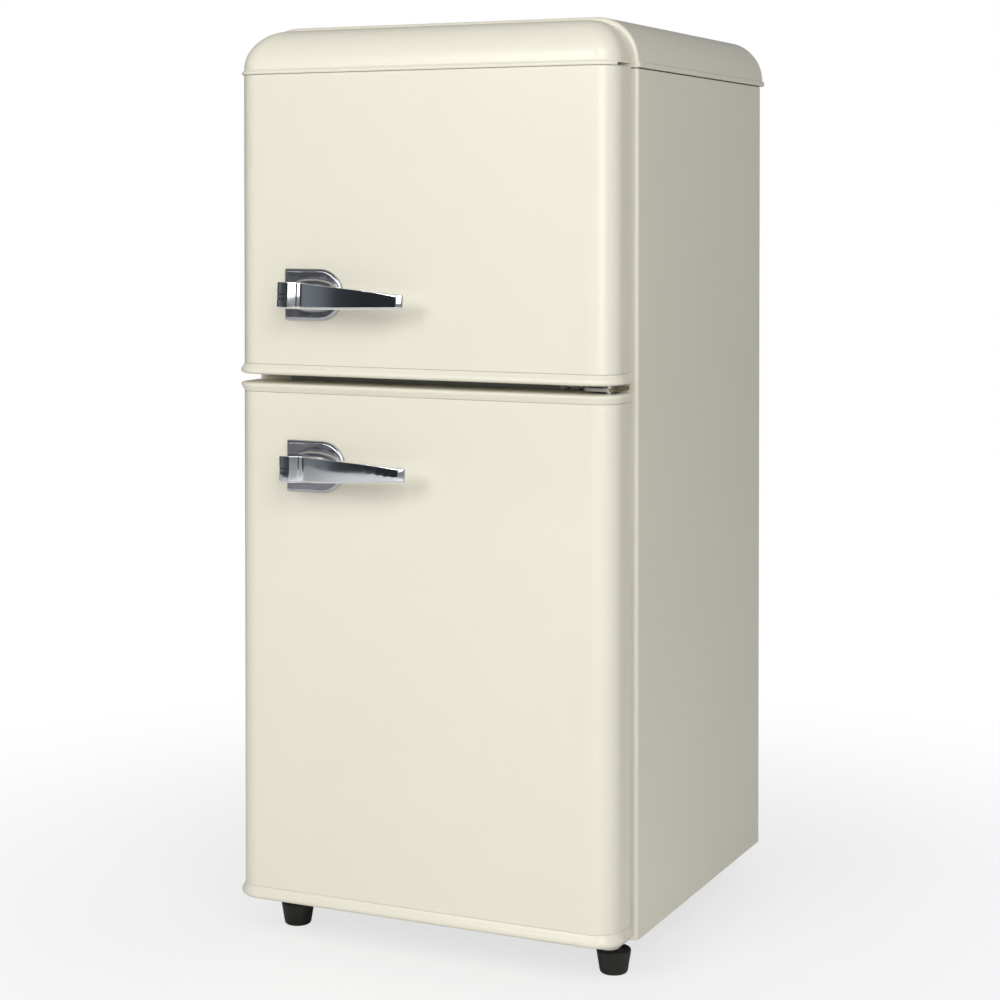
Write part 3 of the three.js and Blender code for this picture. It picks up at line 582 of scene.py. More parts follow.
def door_liner(name, node, body, z0, z1, d0, d1, bosses):
    plate = prism("Y", rrect(-182.6, 182.6, z0, z1, 3), -9.4, DOOR_RR)
    # a raised rim that enters the compartment, drawn as one tapering moulding
    prof = [(0.0, -8.0), (0.9, 9.0), (1.3, 11.2), (2.2, 12.0), (3.4, 12.0), (4.3, 11.2), (4.8, 9.0), (6.4, -5.6)]
    rings = []
    for o, y in prof:
        rings.append([(x, y, z) for x, z in rrect(-154 + o, 154 - o, d0 + o, d1 - o, 13 - o * 0.8)])
    rim = loft(rings + [[(x, -8.0, z) for x, z in rrect(-154 + 6.4, 154 - 6.4, d0 + 6.4, d1 - 6.4, 8)]], loop=True)
    # shallow pressed panel between the racks
    field = loft([[(x, y, z) for x, z in rrect(-128 + o, 128 - o, d0 + 26 + o, d1 - 26 - o, 12 - o * 0.5)]
                  for o, y in ((0, -7.5), (0.6, -6.7), (1.8, -5.9), (3.4, -5.6))])
    me = boolean(name, plate, [rim, field] if bosses else [rim], "UNION")
    return dress(name, me, m_liner, body, node, angle=32)


door_liner("freezer_door_inner", "freezer_door_liner", "freezer_door", 563.3, 838.7, 581, 797, False)
door_liner("fridge_door_inner", "fridge_door_liner", "fridge_door", 56.3, 534.2, 85, 512, False)


def gasket(name, node, body, z0, z1):
    prof = [(0.0, -6.7), (2.2, -5.6), (0.7, -4.3), (1.9, -3.2), (0.8, -2.2), (1.4, -0.8), (2.8, -0.3), (9.6, -0.3), (11.2, -0.8),
            (11.8, -2.2), (10.8, -3.2), (12.1, -4.3), (10.8, -5.6), (13.0, -6.7)]
    rings = [[(-179 + o, y, z0 + o), (179 - o, y, z0 + o), (179 - o, y, z1 - o), (-179 + o, y, z1 - o)] for o, y in prof]
    v, f = loft(rings, loop=True)
    return finish_mesh(name, v, f, m_gasket, body, node, "gasket_rubber", angle=50)


gasket("freezer_door_seal", "freezer_door_gasket", "freezer_door", 556, 823)
gasket("fridge_door_seal", "fridge_door_gasket", "fridge_door", 54.5, 537.5)

for nm, z0, z1, body in (("freezer_door_bush_lower", 551.4, 560.7, "freezer_door"), ("freezer_door_bush_upper", 827, 838.6, "freezer_door"),
                         ("fridge_door_bush_lower", 44.4, 57.6, "fridge_door"), ("fridge_door_bush_upper", 530.6, 541.6, "fridge_door")):
    prof = [(3.62, z0 + 0.4), (4.0, z0), (5.6, z0), (6.0, z0 + 0.4), (6.0, z1 - 0.4), (5.6, z1), (4.0, z1), (3.62, z1 - 0.4)]
    rings = [[(PIN_X + r * math.cos(2 * math.pi * i / 28), PIN_Y + r * math.sin(2 * math.pi * i / 28), z) for i in range(28)] for r, z in prof]
    v, f = loft(rings, loop=True)
    finish_mesh(nm + "_sleeve", v, f, m_black, body, nm, "black_plastic")


# ------------------------------------------------------------------ racks
def rack(name, node, body, z0, z1, rails=True):
    x, y0, y1 = 146.5, -6.7, 60.0
    t = 2.3

    def ring(z, o, r):
        a = [(px, py) for px, py in arc(-x + o + r, y1 - o - r, r, 180, 90, 6)] + [(px, py) for px, py in arc(x - o - r, y1 - o - r, r, 90, 0, 6)]
        return [(-x + o, y0 + (o if o > 0.5 else 0), z)] + [(px, py, z) for px, py in a] + [(x - o, y0 + (o if o > 0.5 else 0), z)]
    outer = [(z0 + 0.0, 2.5), (z0 + 0.5, 1.2), (z0 + 1.4, 0.35), (z0 + 2.6, 0.0), (z1 - 1.0, 0.0), (z1 - 0.3, 0.3), (z1, 0.9)]
    inner = [(z1, t - 0.7), (z1 - 0.3, t - 0.2), (z1 - 1.0, t), (z0 + 5.0, t), (z0 + 3.6, t + 0.4), (z0 + 2.8, t + 1.2), (z0 + 2.4, t + 2.6)]
    rings = [ring(z, o, 14 - o) for z, o in outer] + [ring(z, o, 14 - o) for z, o in inner]
    v, f = loft(rings)
    finish_mesh(name, v, f, m_white, body, node, "liner_plastic", angle=40)


rack("freezer_door_tray", "freezer_door_rack", "freezer_door", 598, 646)
rack("fridge_door_tray_lower", "fridge_door_rack_lower", "fridge_door", 92, 156)
rack("fridge_door_tray_upper", "fridge_door_rack_upper", "fridge_door", 331, 379)


# ------------------------------------------------------------------ handles
def handle(prefix, body, z, dx=0.0, droop=0.0):
    # escutcheon: square on the left, round on the right, with a bevelled rim
    def dshape(o, y):
        pts = [(-139 + o + 1.5, z - 24.5 + o), (-101, z - 24.5 + o)] + arc(-101, z, 24.5 - o, -84, 84, 28) + [
            (-101, z + 24.5 - o), (-139 + o + 1.5, z + 24.5 - o)] + arc(-139 + o + 1.5, z + 24.5 - o - 1.5, 1.5, 90, 180, 3)[1:] + arc(
            -139 + o + 1.5, z - 24.5 + o + 1.5, 1.5, 180, 270, 3)[:-1]
        return [(px + dx, y, pz) for px, pz in pts]
    rings = [dshape(0.6, -51.9), dshape(0.05, -52.3), dshape(0.0, -54.2), dshape(0.25, -55.0), dshape(0.9, -55.6), dshape(2.1, -56.3),
             dshape(2.7, -56.35), dshape(3.3, -56.0)]
    plate = loft(rings)

    def boss(o, y):
        pts = []
        n = 40
        for i in range(n):
            a = 2 * math.pi * i / n
            c, s = math.cos(a), math.sin(a)
            px = -107 + (27.0 - o) * (abs(c) ** 0.8) * (1 if c >= 0 else -1)
            pz = z + (16.2 - o) * (abs(s) ** 0.75) * (1 if s >= 0 else -1)
            pts.append((px + dx, y, pz))
        return pts
    boss_m = loft([boss(-0.3, -55.2), boss(0.0, -57.0), boss(0.7, -60.0), boss(2.2, -62.8), boss(4.6, -64.9), boss(7.6, -65.9)])
    me = boolean(prefix + "_escutcheon", plate, [boss_m], "UNION")
    dress(prefix + "_escutcheon", me, m_chrome_dark, body, prefix + "_base", angle=30)

    # lever: stations along x with front y, rear y, top and bottom z, and the widths of the top and bottom bevels
    st = [(-130.0, -84.4, -69.5, 11.2, -10.4, 0.8, 0.8), (-129.4, -85.9, -67.6, 12.2, -11.4, 0.8, 1.0), (-128.2, -87.0, -66.5, 12.7, -11.9, 0.6, 1.1),
          (-126.6, -87.5, -66.3, 12.8, -12.0, 0.5, 1.2), (-123.0, -87.8, -66.3, 12.8, -12.0, 0.5, 1.2), (-118.4, -88.0, -66.3, 12.8, -12.2, 0.5, 1.3),
          (-117.6, -87.9, -66.3, 12.8, -12.25, 0.5, 1.4), (-116.9, -87.6, -66.3, 12.8, -12.3, 0.5, 1.5), (-113.5, -85.05, -66.4, 12.8, -12.3, 0.5, 1.8),
          (-111.2, -83.3, -68.6, 12.7, -12.3, 0.5, 2.0), (-110.8, -83.15, -69.0, 12.65, -12.3, 0.5, 2.0), (-110.0, -83.05, -69.6, 12.6, -12.3, 0.5, 2.0),
          (-109.6, -82.9, -70.1, 12.5, -12.3, 0.5, 2.0), (-107.8, -81.5, -71.7, 12.4, -12.2, 0.5, 2.0), (-107.2, -81.3, -72.1, 12.35, -12.2, 0.5, 2.0),
          (-106.2, -81.25, -72.8, 12.3, -12.15, 0.5, 2.0), (-105.0, -81.4, -73.5, 12.2, -12.1, 0.5, 2.0), (-102.0, -82.1, -75.1, 12.0, -12.0, 0.5, 2.0),
          (-97.0, -83.3, -76.6, 11.8, -11.8, 0.5, 2.0), (-91.0, -84.6, -77.9, 11.5, -11.5, 0.5, 2.0), (-84.0, -85.8, -78.6, 11.2, -11.2, 0.5, 2.0),
          (-77.0, -86.65, -79.2, 10.9, -10.85, 0.4, 2.0), (-70.0, -87.25, -79.5, 10.6, -10.5, 0.4, 1.9), (-62.0, -87.65, -79.8, 10.2, -10.1, 0.4, 1.9),
          (-52.0, -87.9, -80.1, 9.7, -9.5, 0.4, 1.9), (-40.0, -88.0, -80.3, 9.0, -8.7, 0.4, 1.8),
          (-28.0, -87.95, -80.3, 8.4, -8.0, 0.4, 1.8), (-20.0, -87.8, -80.3, 8.0, -7.4, 0.9, 1.7), (-12.0, -87.5, -80.3, 7.6, -6.9, 1.5, 1.7),
          (-5.0, -87.1, -80.35, 7.25, -6.5, 2.0, 1.6), (-3.6, -86.9, -80.4, 7.2, -6.4, 2.1, 1.6), (-2.6, -86.3, -80.4, 7.1, -6.3, 2.0, 1.5),
          (0.2, -84.3, -80.6, 6.9, -6.1, 1.8, 1.4), (1.1, -83.5, -80.9, 6.6, -5.8, 1.4, 1.1), (1.5, -82.9, -81.5, 6.0, -5.2, 1.0, 0.8)]
    cs, sn = math.cos(math.radians(droop)), math.sin(math.radians(droop))

    def tilt(p):
        ux, uz = p[0] + 120, p[2] - z
        return (-120 + ux * cs + uz * sn + dx, p[1], z - ux * sn + uz * cs)
    rings = []
    for x, yf, yr, zt, zb, bt, bb in st:
        d = (yr - yf)
        t, u = min(bt, d * 0.45), min(bb, d * 0.45)
        ring = [(x, yr, z + zb + u * 0.8), (x, yr - u * 0.5, z + zb + 0.2), (x, yf + u * 1.3, z + zb), (x, yf + u * 0.3, z + zb + u * 0.55),
                (x, yf, z + zb + u * 1.3), (x, yf, z + zt - t * 1.3), (x, yf + t * 0.3, z + zt - t * 0.55),
                (x, yf + t * 1.3, z + zt), (x, yr - t * 0.5, z + zt - 0.2), (x, yr, z + zt - t * 0.8)]
        rings.append([tilt(p) for p in ring])
    lever = loft(rings)
    # two shallow grooves cut in the knuckle's face and carried round its left end
    slots = []
    for a in (0.5, -3.9):
        for x1, y0, y1 in ((-119.4, -89.0, -86.7), (-128.4, -89.0, -69.0)):
            sv, sf = boxm(-133, x1, y0, y1, z + a, z + a + 1.3)
            slots.append(([tilt(p) for p in sv], sf))
    me = boolean(prefix + "_grip", lever, slots)
    dress(prefix + "_grip", me, m_chrome, body, prefix + "_lever", angle=30)


handle("freezer_handle", "freezer_door", 628.7, 0.0, 2.1)
handle("fridge_handle", "fridge_door", 465.4, 2.0, 0.0)


# ------------------------------------------------------------------ feet
def foot(name, node, body, x, y, adjustable=True):
    prof = [(0, 0.0), (10.2, 0.0), (11.5, 0.25), (12.5, 0.9), (13.2, 2.2), (13.5, 4.0), (14.8, 12.0), (16.0, 19.2), (16.2, 20.2),
            (16.1, 21.2), (15.6, 22.1), (14.6, 22.7), (13.4, 23.0), (9.2, 23.0), (8.8, 22.6), (8.4, 22.6), (0, 22.6)]
    pad = lathe(x, y, 0, prof, 40)
    finish_mesh(name + "_pad", *pad, m_black, body, None, "black_plastic", angle=45)
    hexa = loft([[(x + r * math.cos(math.radians(60 * i)), y + r * math.sin(math.radians(60 * i)), z) for i in range(6)]
                 for r, z in ((6.7, 22.4), (7.2, 23.0), (7.2, 37.9), (6.7, 38.6))])
    top = 54.0 if adjustable else 38.6
    if adjustable:
        stud_prof = [(0, 38.0), (4.0, 38.0)]
        z = 39.0
        while z < 52.6:
            stud_prof += [(4.0, z), (3.4, z + 0.5)]
            z += 1.0
        stud_prof += [(3.4, 53.2), (2.6, 54.0), (0, 54.0)]
        parts = join(hexa, lathe(x, y, 0, stud_prof, 20))
    else:
        parts = hexa
    finish_mesh(name + "_collar", *parts, m_black if not adjustable else m_steelpin, body, node, "black_plastic", angle=30)


foot("foot_front_left", "front_foot_left", "front_foot_left", -169, 20)
foot("foot_front_right", "front_foot_right", "front_foot_right", 169, 20)
foot("foot_rear_left", "rear_foot_left", "cabinet", -140, 326, False)
foot("foot_rear_right", "rear_foot_right", "cabinet", 140, 326, False)


# ------------------------------------------------------------------ hinges
def screw(name, x, y, z, r=3.6, body="cabinet", axis=-1.0, mat=None):
    """Pan-head screw seen along Y, head towards axis."""
    a = axis
    prof = [(0, 0.0), (r, 0.0), (r, 0.5), (r * 0.92, 1.0), (r * 0.7, 1.5), (r * 0.4, 1.75), (0, 1.85)]
    rings = []
    for rr, h in prof:
        rings.append([(x + rr * math.cos(2 * math.pi * i / 24), y + a * h, z + rr * math.sin(2 * math.pi * i / 24)) for i in range(24)])
    head = loft(rings)
    w, l = r * 0.16, r * 0.62
    cross = [boxm(x - w, x + w, min(y + a * 0.8, y + a * 3), max(y + a * 0.8, y + a * 3), z - l, z + l),
             boxm(x - l, x + l, min(y + a * 0.8, y + a * 3), max(y + a * 0.8, y + a * 3), z - w, z + w)]
    me = boolean(name, head, cross)
    return dress(name, me, mat or m_steelpin, body, None, angle=35)


def bracket(name, node, z_leg0, z_leg1, z0, z1, half, left, pin0, pin1, collar=None, screws=()):
    leg = prism("Y", rrect(124, 164, z_leg0, z_leg1, min(2.0, (z_leg1 - z_leg0) / 3)), -2.6, -0.3)
    web = boxm(128, PIN_X + half, -2.6, -0.3, z0, z1)
    pts = [(PIN_X + half, -0.9), (left, -0.9)] + arc(left + half, PIN_Y, half, 180, 270, 8) + arc(PIN_X, PIN_Y, half, 270, 360, 8)
    clean = [p for i, p in enumerate(pts) if math.dist(p, pts[i - 1]) > 0.02]
    tongue = prism("Z", clean, z0, z1)
    me = boolean(name + "_plate", leg, [web, tongue], "UNION")
    o = dress(name + "_plate", me, m_enamel if name == "hinge_top" else m_bracket, "cabinet", node, angle=30)
    # the middle hinge's faces right of the pin get the olive painted shade
    if name == "hinge_middle":
        o.data.materials.append(m_hinge_end_shade.m)
        for poly in o.data.polygons:
            if poly.center.x > (PIN_X + 3) * K:
                poly.material_index = len(o.data.materials) - 1
    prof = [(0, pin0), (2.9, pin0), (3.5, pin0 + 0.6), (3.5, pin1 - 0.6), (2.9, pin1), (0, pin1)]
    parts = [lathe(PIN_X, PIN_Y, 0, prof, 28)]
    if collar:
        parts = [lathe(PIN_X, PIN_Y, 0, [(0, pin0), (2.9, pin0), (3.48, pin0 + 0.6), (3.48, collar[0]), (5.4, collar[0]), (5.4, collar[1]),
                                         (3.48, collar[1]), (3.48, pin1 - 0.6), (2.9, pin1), (0, pin1)], 28)]
    finish_mesh(name + "_pin", *join(*parts), m_steelpin, "cabinet", None, "zinc_steel", angle=30)
    for i, (sx, sz) in enumerate(screws):
        screw(f"{name}_screw_{i + 1}", sx, -2.5, sz, 3.3)
    return o


bracket("hinge_middle", "middle_hinge", 539, 554.4, 545.2, 548.2, 10, 158, 533.5, 560.5, (544.4, 549.6), [(132, 546.7), (146, 546.7)])
bracket("hinge_top", "top_hinge", 826, 843, 839.4, 841.2, 6, PIN_X - 6, 827, 841.2, None, [(134, 834), (152, 834)])
bracket("hinge_bottom", "bottom_hinge", 39.2, 52.8, 39.2, 42.2, 10, 158, 39.2, 56, None, [(134, 47.5), (152, 47.5)])


# ------------------------------------------------------------------ liners
def tub(name, node, profile_corners, x_half, radius, side_r):
    """Inside of a compartment: a (y, z) outline with rounded corners, swept across, the side edges rounded too."""
    pts = []
    n = len(profile_corners)
    for i, (y, z, r) in enumerate(profile_corners):
        if r <= 0:
            pts.append((y, z))
            continue
        (py, pz, _), (ny, nz, _) = profile_corners[i - 1], profile_corners[(i + 1) % n]
        a = Vector((py - y, pz - z)).normalized()
        b = Vector((ny - y, nz - z)).normalized()
        c = Vector((y, z)) + (a + b) * r
        s = Vector((y, z)) + a * r - c
        e = Vector((y, z)) + b * r - c
        a0, a1 = math.atan2(s.y, s.x), math.atan2(e.y, e.x)
        d = (a1 - a0 + math.pi) % (2 * math.pi) - math.pi
        pts += [(c.x + r * math.cos(a0 + d * k / 5), c.y + r * math.sin(a0 + d * k / 5)) for k in range(6)]
    v, f = prism("X", pts, -x_half, x_half)
    me = bpy.data.meshes.new(name)
    me.from_pydata([P(*p) for p in v], [], f)
    bm = bmesh.new()
    bm.from_mesh(me)
    bmesh.ops.recalc_face_normals(bm, faces=bm.faces)
    front = P(0, 0.05, 0)[1]
    doomed = [fc for fc in bm.faces if all(abs(vv.co.y - front) < 1e-5 for vv in fc.verts)]
    edges = [e for e in bm.edges if all(abs(abs(vv.co.x) - x_half * K) < 1e-6 for vv in e.verts)
             and not all(abs(vv.co.y - front) < 1e-5 for vv in e.verts) and abs(e.verts[0].co.x - e.verts[1].co.x) < 1e-9]
    bmesh.ops.bevel(bm, geom=edges, offset=side_r * K, segments=5, profile=0.5, affect="EDGES", clamp_overlap=True)
    doomed = [fc for fc in bm.faces if all(abs(vv.co.y - front) < 1e-5 for vv in fc.verts)]
    bmesh.ops.delete(bm, geom=doomed, context="FACES")
    bmesh.ops.reverse_faces(bm, faces=bm.faces)
    bm.to_mesh(me)
    bm.free()
    return dress(name, me, m_liner, "cabinet", node, angle=35, solidify=-1.6)


tub("freezer_tub", "freezer_liner", [(0.05, 572, 0), (CAV_Y, 572, 12), (CAV_Y, 806, 12), (0.05, 806, 0)], CAV_X, 12, 9)
tub("fridge_tub", "fridge_liner", [(0.05, 77, 0), (188, 77, 12), (188, 248, 8), (CAV_Y, 248, 12), (CAV_Y, 520, 12), (0.05, 520, 0)], CAV_X, 12, 7)


def lip(name, z0, z1, zi0, zi1):
    outer = rrect(-163.7, 163.7, z0, z1, 1.0, 3)
    inner = rrect(-159.6, 159.6, zi0 + 0.4, zi1 - 0.4, 3.0, 3)
    rings = [[(x, 1.0, z) for x, z in outer], [(x, 0.1, z) for x, z in outer], [(x, 0.1, z) for x, z in inner], [(x, 1.0, z) for x, z in inner]]
    finish_mesh(name, *loft(rings, loop=True), m_liner, "cabinet", None, "liner_plastic", angle=30)


lip("freezer_tub_lip", 568.3, 807.9, 572, 806)
lip("fridge_tub_lip", 74.0, 523.7, 77, 520)


def ledges(name, z, y0, y1):
    parts = []
    for s in (-1, 1):
        rings = []
        for y, k in ((y0, 0.0), (y0 + 1.2, 0.75), (y0 + 3.0, 1.0), (y1 - 3, 1.0), (y1 - 1.2, 0.75), (y1, 0.0)):
            d = 0.8 + 4.0 * k
            rings.append([(s * 160.6, y, z - 0.4), (s * (160 - d + 0.8), y, z - 0.4), (s * (160 - d), y, z - 1.1), (s * (160 - d), y, z - 2.8),
                          (s * 160.0, y, z - 4.9), (s * 160.6, y, z - 4.9)])
        parts.append(loft(rings))
    finish_mesh(name, *join(*parts), m_liner, "cabinet", None, "liner_plastic", angle=30)


ledges("ledges_freezer", 684, 73, 306)
ledges("ledges_upper", 404, 73, 306)
ledges("ledges_lower", 300, 73, 306)
ledges("ledges_crisper", 204, 73, 184)

# ------------------------------------------------------------------ shelves, drawer, fittings
for nd in ("glass_shelf_upper", "glass_shelf_lower", "crisper_cover"):
    dress_cad(nd, m_glass, 0.5, 3)


def trim(name, node, z):
    prof = [(65.5, z - 1.6), (66.2, z - 2.5), (71.0, z - 2.5), (71.7, z - 1.9), (71.7, z + 7.2), (71.0, z + 8.0), (69.4, z + 8.0), (68.2, z + 6.8),
            (66.6, z + 5.4), (65.5, z + 4.0)]
    v, f = prism("X", prof, -157.5, 157.5)
    finish_mesh(name, v, f, m_white, "cabinet", node, "liner_plastic", bevel=0.35, segs=2)


trim("shelf_front_upper", "shelf_trim_upper", 404)
trim("shelf_front_lower", "shelf_trim_lower", 300)


def crisper():
    def ring(z, o, r, front):
        x, y0, y1 = 152 - o, front + o, 184 - o
        pts = arc(x - r, y0 + r, r, 270, 360, 5) + arc(x - r, y1 - r, r, 0, 90, 5) + arc(-x + r, y1 - r, r, 90, 180, 5) + arc(-x + r, y0 + r, r, 180, 270, 5)
        return [(px, py, z) for px, py in pts]
    f0, f1 = 70.0, 66.0

    def fr(z):
        return f0 + (f1 - f0) * (z - 78) / 119.0
    t = 2.4
    outer = [(78.0, 4.0), (78.5, 2.2), (79.6, 0.9), (81.5, 0.2), (190.0, 0.2), (193.0, 0.0), (196.4, 0.0), (197.0, 0.5)]
    inner = [(197.0, t - 0.4), (196.4, t), (83.5, t), (81.6, t + 0.8), (80.6, t + 2.2), (80.4, t + 4.0)]
    rings = [ring(z, o, 9 - min(o, 3) * 0.6, fr(z)) for z, o in outer + inner]
    bodym = loft(rings)
    notch = loft([[(-46 + k, 60, 188.5), (46 - k, 60, 188.5), (52 - k, 60, 199), (-52 + k, 60, 199)] if y == 0 else
                  [(-46 + k, 76, 188.5), (46 - k, 76, 188.5), (52 - k, 76, 199), (-52 + k, 76, 199)] for y, k in ((0, 0), (1, 0))])
    me = boolean("crisper_bin", bodym, [notch])
    dress("crisper_bin", me, m_clear, "cabinet", "crisper_drawer", angle=30)


crisper()


def wire_shelf():
    z = 684
    parts = []
    x, y0, y1, r = 155.6, 72.0, 302.0, 1.9
    loop = arc(x - 6, y0 + 6, 6, 270, 360, 5) + arc(x - 6, y1 - 6, 6, 0, 90, 5) + arc(-x + 6, y1 - 6, 6, 90, 180, 5) + arc(-x + 6, y0 + 6, 6, 180, 270, 5)
    parts.append(sweep([(px, py, z + 2.0) for px, py in loop], r, 10, closed=True))
    for i in range(1, 24):
        gx = -x + i * 2 * x / 24
        parts.append(sweep([(gx, y0 - 0.2, z + 2.6), (gx, y1 + 0.2, z + 2.6)], 1.25, 8))
    for gy in (130, 190, 246):
        parts.append(sweep([(-x + 0.5, gy, z + 1.4), (x - 0.5, gy, z + 1.4)], 1.35, 8))
    finish_mesh("freezer_rack_wires", *join(*parts), m_wirewhite, "cabinet", "freezer_wire_shelf", "coated_wire", angle=50, weld=False, weighted=False)


wire_shelf()

dress_cad("thermostat_housing", m_white, 0.9, 3)
dress_cad("lamp_lens", m_lens, 1.2, 3)


def knob():
    cy, cz, x0 = 148, 474, 128.0
    rings = []
    n = 72
    for r, x, k in ((0, 127.7, 0), (15.2, 127.7, 0), (16.0, 127.0, 0.3), (16.0, 125.0, 1.0), (15.6, 120.4, 1.0), (15.0, 119.0, 0.4), (13.6, 118.5, 0), (0, 118.5, 0)):
        rings.append([(x, cy + (r - 0.45 * k * (i % 3 == 0)) * math.cos(2 * math.pi * i / n), cz + (r - 0.45 * k * (i % 3 == 0)) * math.sin(2 * math.pi * i / n))
                      for i in range(n)])
    bar = loft([[(115.0 + e, 145.9 + o, 460.6 + o), (115.0 + e, 150.1 - o, 460.6 + o), (115.0 + e, 150.1 - o, 487.4 - o), (115.0 + e, 145.9 + o, 487.4 - o)]
                for e, o in ((0, 0.9), (0.35, 0.3), (1.0, 0.0), (5.0, 0.0))])
    me = boolean("thermostat_dial", loft(rings), [bar], "UNION")
    dress("thermostat_dial", me, m_white, "thermostat_knob", "thermostat_knob", angle=35)
    mark = boxm(114.95, 115.4, 147.4, 148.6, 478.5, 486.4)
    finish_mesh("thermostat_dial_mark", *mark, m_rail, "thermostat_knob", None, "rail_plastic")
    ticks = []
    for i in range(8):
        a = math.radians(90 + 140 - i * 40)
        c, s = math.cos(a), math.sin(a)
        L = 3.4 if i % 7 == 0 else 2.2
        # ticks are pressed marks on the housing face round the knob
        p = [(17.8, -0.35), (17.8 + L, -0.35), (17.8 + L, 0.35), (17.8, 0.35)]
        q = [(cy + u * c - w * s, cz + u * s + w * c) for u, w in p]
        ticks.append(prism("X", q, 127.86, 128.2))
    finish_mesh("thermostat_scale", *join(*ticks), m_rail, "cabinet", None, "rail_plastic")


knob()


# ------------------------------------------------------------------ refrigeration circuit
def compressor():
    cx, cy, cz = 40.0, 290.0, 116.0

    def ell(rx, ry, z, n=48, e=0.86):
        out = []
        for i in range(n):
            a = 2 * math.pi * i / n
            c, s = math.cos(a), math.sin(a)
            out.append((cx + rx * (abs(c) ** e) * (1 if c >= 0 else -1), cy + ry * (abs(s) ** e) * (1 if s >= 0 else -1), z))
        return out
    rings = []
    for i in range(13):
        t = math.radians(-90 + 90 * i / 12)
        k = max(0.02, math.cos(t)) ** 0.62
        rings.append(ell(79 * k, 53.5 * k, cz - 3.2 + 62 * math.sin(t)))
    rings += [ell(83, 57, cz - 3.2), ell(83.7, 57.6, cz - 2.4), ell(83.7, 57.6, cz + 2.4), ell(83, 57, cz + 3.2)]
    for i in range(13):
        t = math.radians(90 * i / 12)
        k = max(0.02, math.cos(t)) ** 0.62
        rings.append(ell(79 * k, 53.5 * k, cz + 3.2 + 62 * math.sin(t)))
    shell = loft(rings)
    finish_mesh("compressor_shell", *shell, m_blacksteel, "cabinet", "compressor", "black_steel", angle=40)
    feet = []
    for sx in (-1, 1):
        pts = [(cx + sx * 40, 242), (cx + sx * 70, 242), (cx + sx * 70, 338), (cx + sx * 40, 338)]
        feet.append(prism("Z", pts if sx > 0 else pts[::-1], 58.0, 60.6))
    finish_mesh("compressor_feet", *join(*feet), m_blacksteel, "cabinet", None, "black_steel", bevel=0.6)
    stub = sweep([(70, 300, 150), (72, 306, 168), (76, 312, 176), (82, 318, 178)], 2.6, 12)
    finish_mesh("compressor_process_stub", *stub, m_copper, "cabinet", None, "copper", angle=60)
    v, f = boxm(cx - 90, cx + 90, cy - 54, cy + 54, 40.9, 43.4)
    plate = finish_mesh("compressor_plate", v, f, m_zinc, "cabinet", "compressor_mount", "zinc_steel", bevel=0.6)
    for i, (dx, dy) in enumerate([(-58, -38), (58, -38), (-58, 38), (58, 38)]):
        prof = [(0, 43.3), (8.0, 43.3), (8.0, 45.2), (6.6, 46.2), (6.6, 48.4), (8.0, 49.4), (8.0, 51.4), (6.8, 52.4), (6.8, 54.6), (7.8, 55.6), (7.8, 57.7), (0, 57.7)]
        finish_mesh(f"compressor_grommet_{i + 1}", *lathe(cx + dx, cy + dy, 0, prof, 24), m_black, "cabinet", None, "black_plastic", angle=35)
        bolt = lathe(cx + dx, cy + dy, 0, [(0, 60.4), (6.0, 60.4), (6.0, 61.4), (4.4, 61.5), (4.4, 64.4), (3.6, 65.0), (0, 65.0)], 6)
        finish_mesh(f"compressor_bolt_{i + 1}", *bolt, m_steelpin, "cabinet", None, "zinc_steel", angle=30)


compressor()
dress_cad("relay_cover", m_black, 1.6, 3)
prof = [(3.6, 32.0), (3.6, 39.4), (4.2, 40.0), (5.4, 40.0), (6.0, 39.3), (6.0, 36.2), (5.2, 35.8), (5.2, 34.4), (6.0, 34.0), (6.0, 32.6), (5.2, 32.2),
        (5.2, 30.8), (6.0, 30.4), (6.0, 29.0), (8.0, 28.8), (8.0, 26.3), (3.6, 26.3)]
rings = [[(138 + r * math.cos(2 * math.pi * i / 28), 290 + h, 100 + r * math.sin(2 * math.pi * i / 28)) for i in range(28)] for r, h in prof]
finish_mesh("cord_grommet", *loft(rings, loop=True), m_black, "cabinet", "cord_gland", "black_plastic", angle=35)


def tray():
    def ring(z, o, r=6):
        x0, x1, y0, y1 = -20 + o, 100 - o, 242 + o, 338 - o
        return [(px, py, z) for px, py in arc(x1 - r, y0 + r, r, 270, 360, 4) + arc(x1 - r, y1 - r, r, 0, 90, 4)
                + arc(x0 + r, y1 - r, r, 90, 180, 4) + arc(x0 + r, y0 + r, r, 180, 270, 4)]
    rings = [ring(z, o) for z, o in ((188, 3.0), (188.4, 1.6), (189.6, 0.9), (201.0, 0.9), (201.4, 0.0), (203.6, 0.0), (204.0, 0.4),
                                     (204.0, 2.0), (203.4, 2.5), (191.6, 2.8), (190.6, 3.6), (190.4, 5.0))]
    finish_mesh("defrost_tray", *loft(rings), m_clear, "cabinet", "drip_tray", "clear_plastic", angle=35)


tray()


def catmull(points, n):
    pts = [Vector(p) for p in points]
    ext = [pts[0] * 2 - pts[1]] + pts + [pts[-1] * 2 - pts[-2]]
    out = []
    for i in range(1, len(ext) - 2):
        a, b, c, d = ext[i - 1], ext[i], ext[i + 1], ext[i + 2]
        for k in range(n):
            t = k / n
            out.append(0.5 * ((2 * b) + (c - a) * t + (2 * a - 5 * b + 4 * c - d) * t * t + (3 * b - a - 3 * c + d) * t ** 3))
    out.append(pts[-1])
    return [tuple(p) for p in out]


line = catmull([(-42.0, 290, 112), (-90, 296, 112), (-130, 318, 116), (-158, 344, 140), (-165, 363, 178), (-165, 368, 225)], 10)
finish_mesh("discharge_tube", *sweep(line, 2.4, 14), m_copper, "cabinet", "discharge_line", "copper", angle=60)


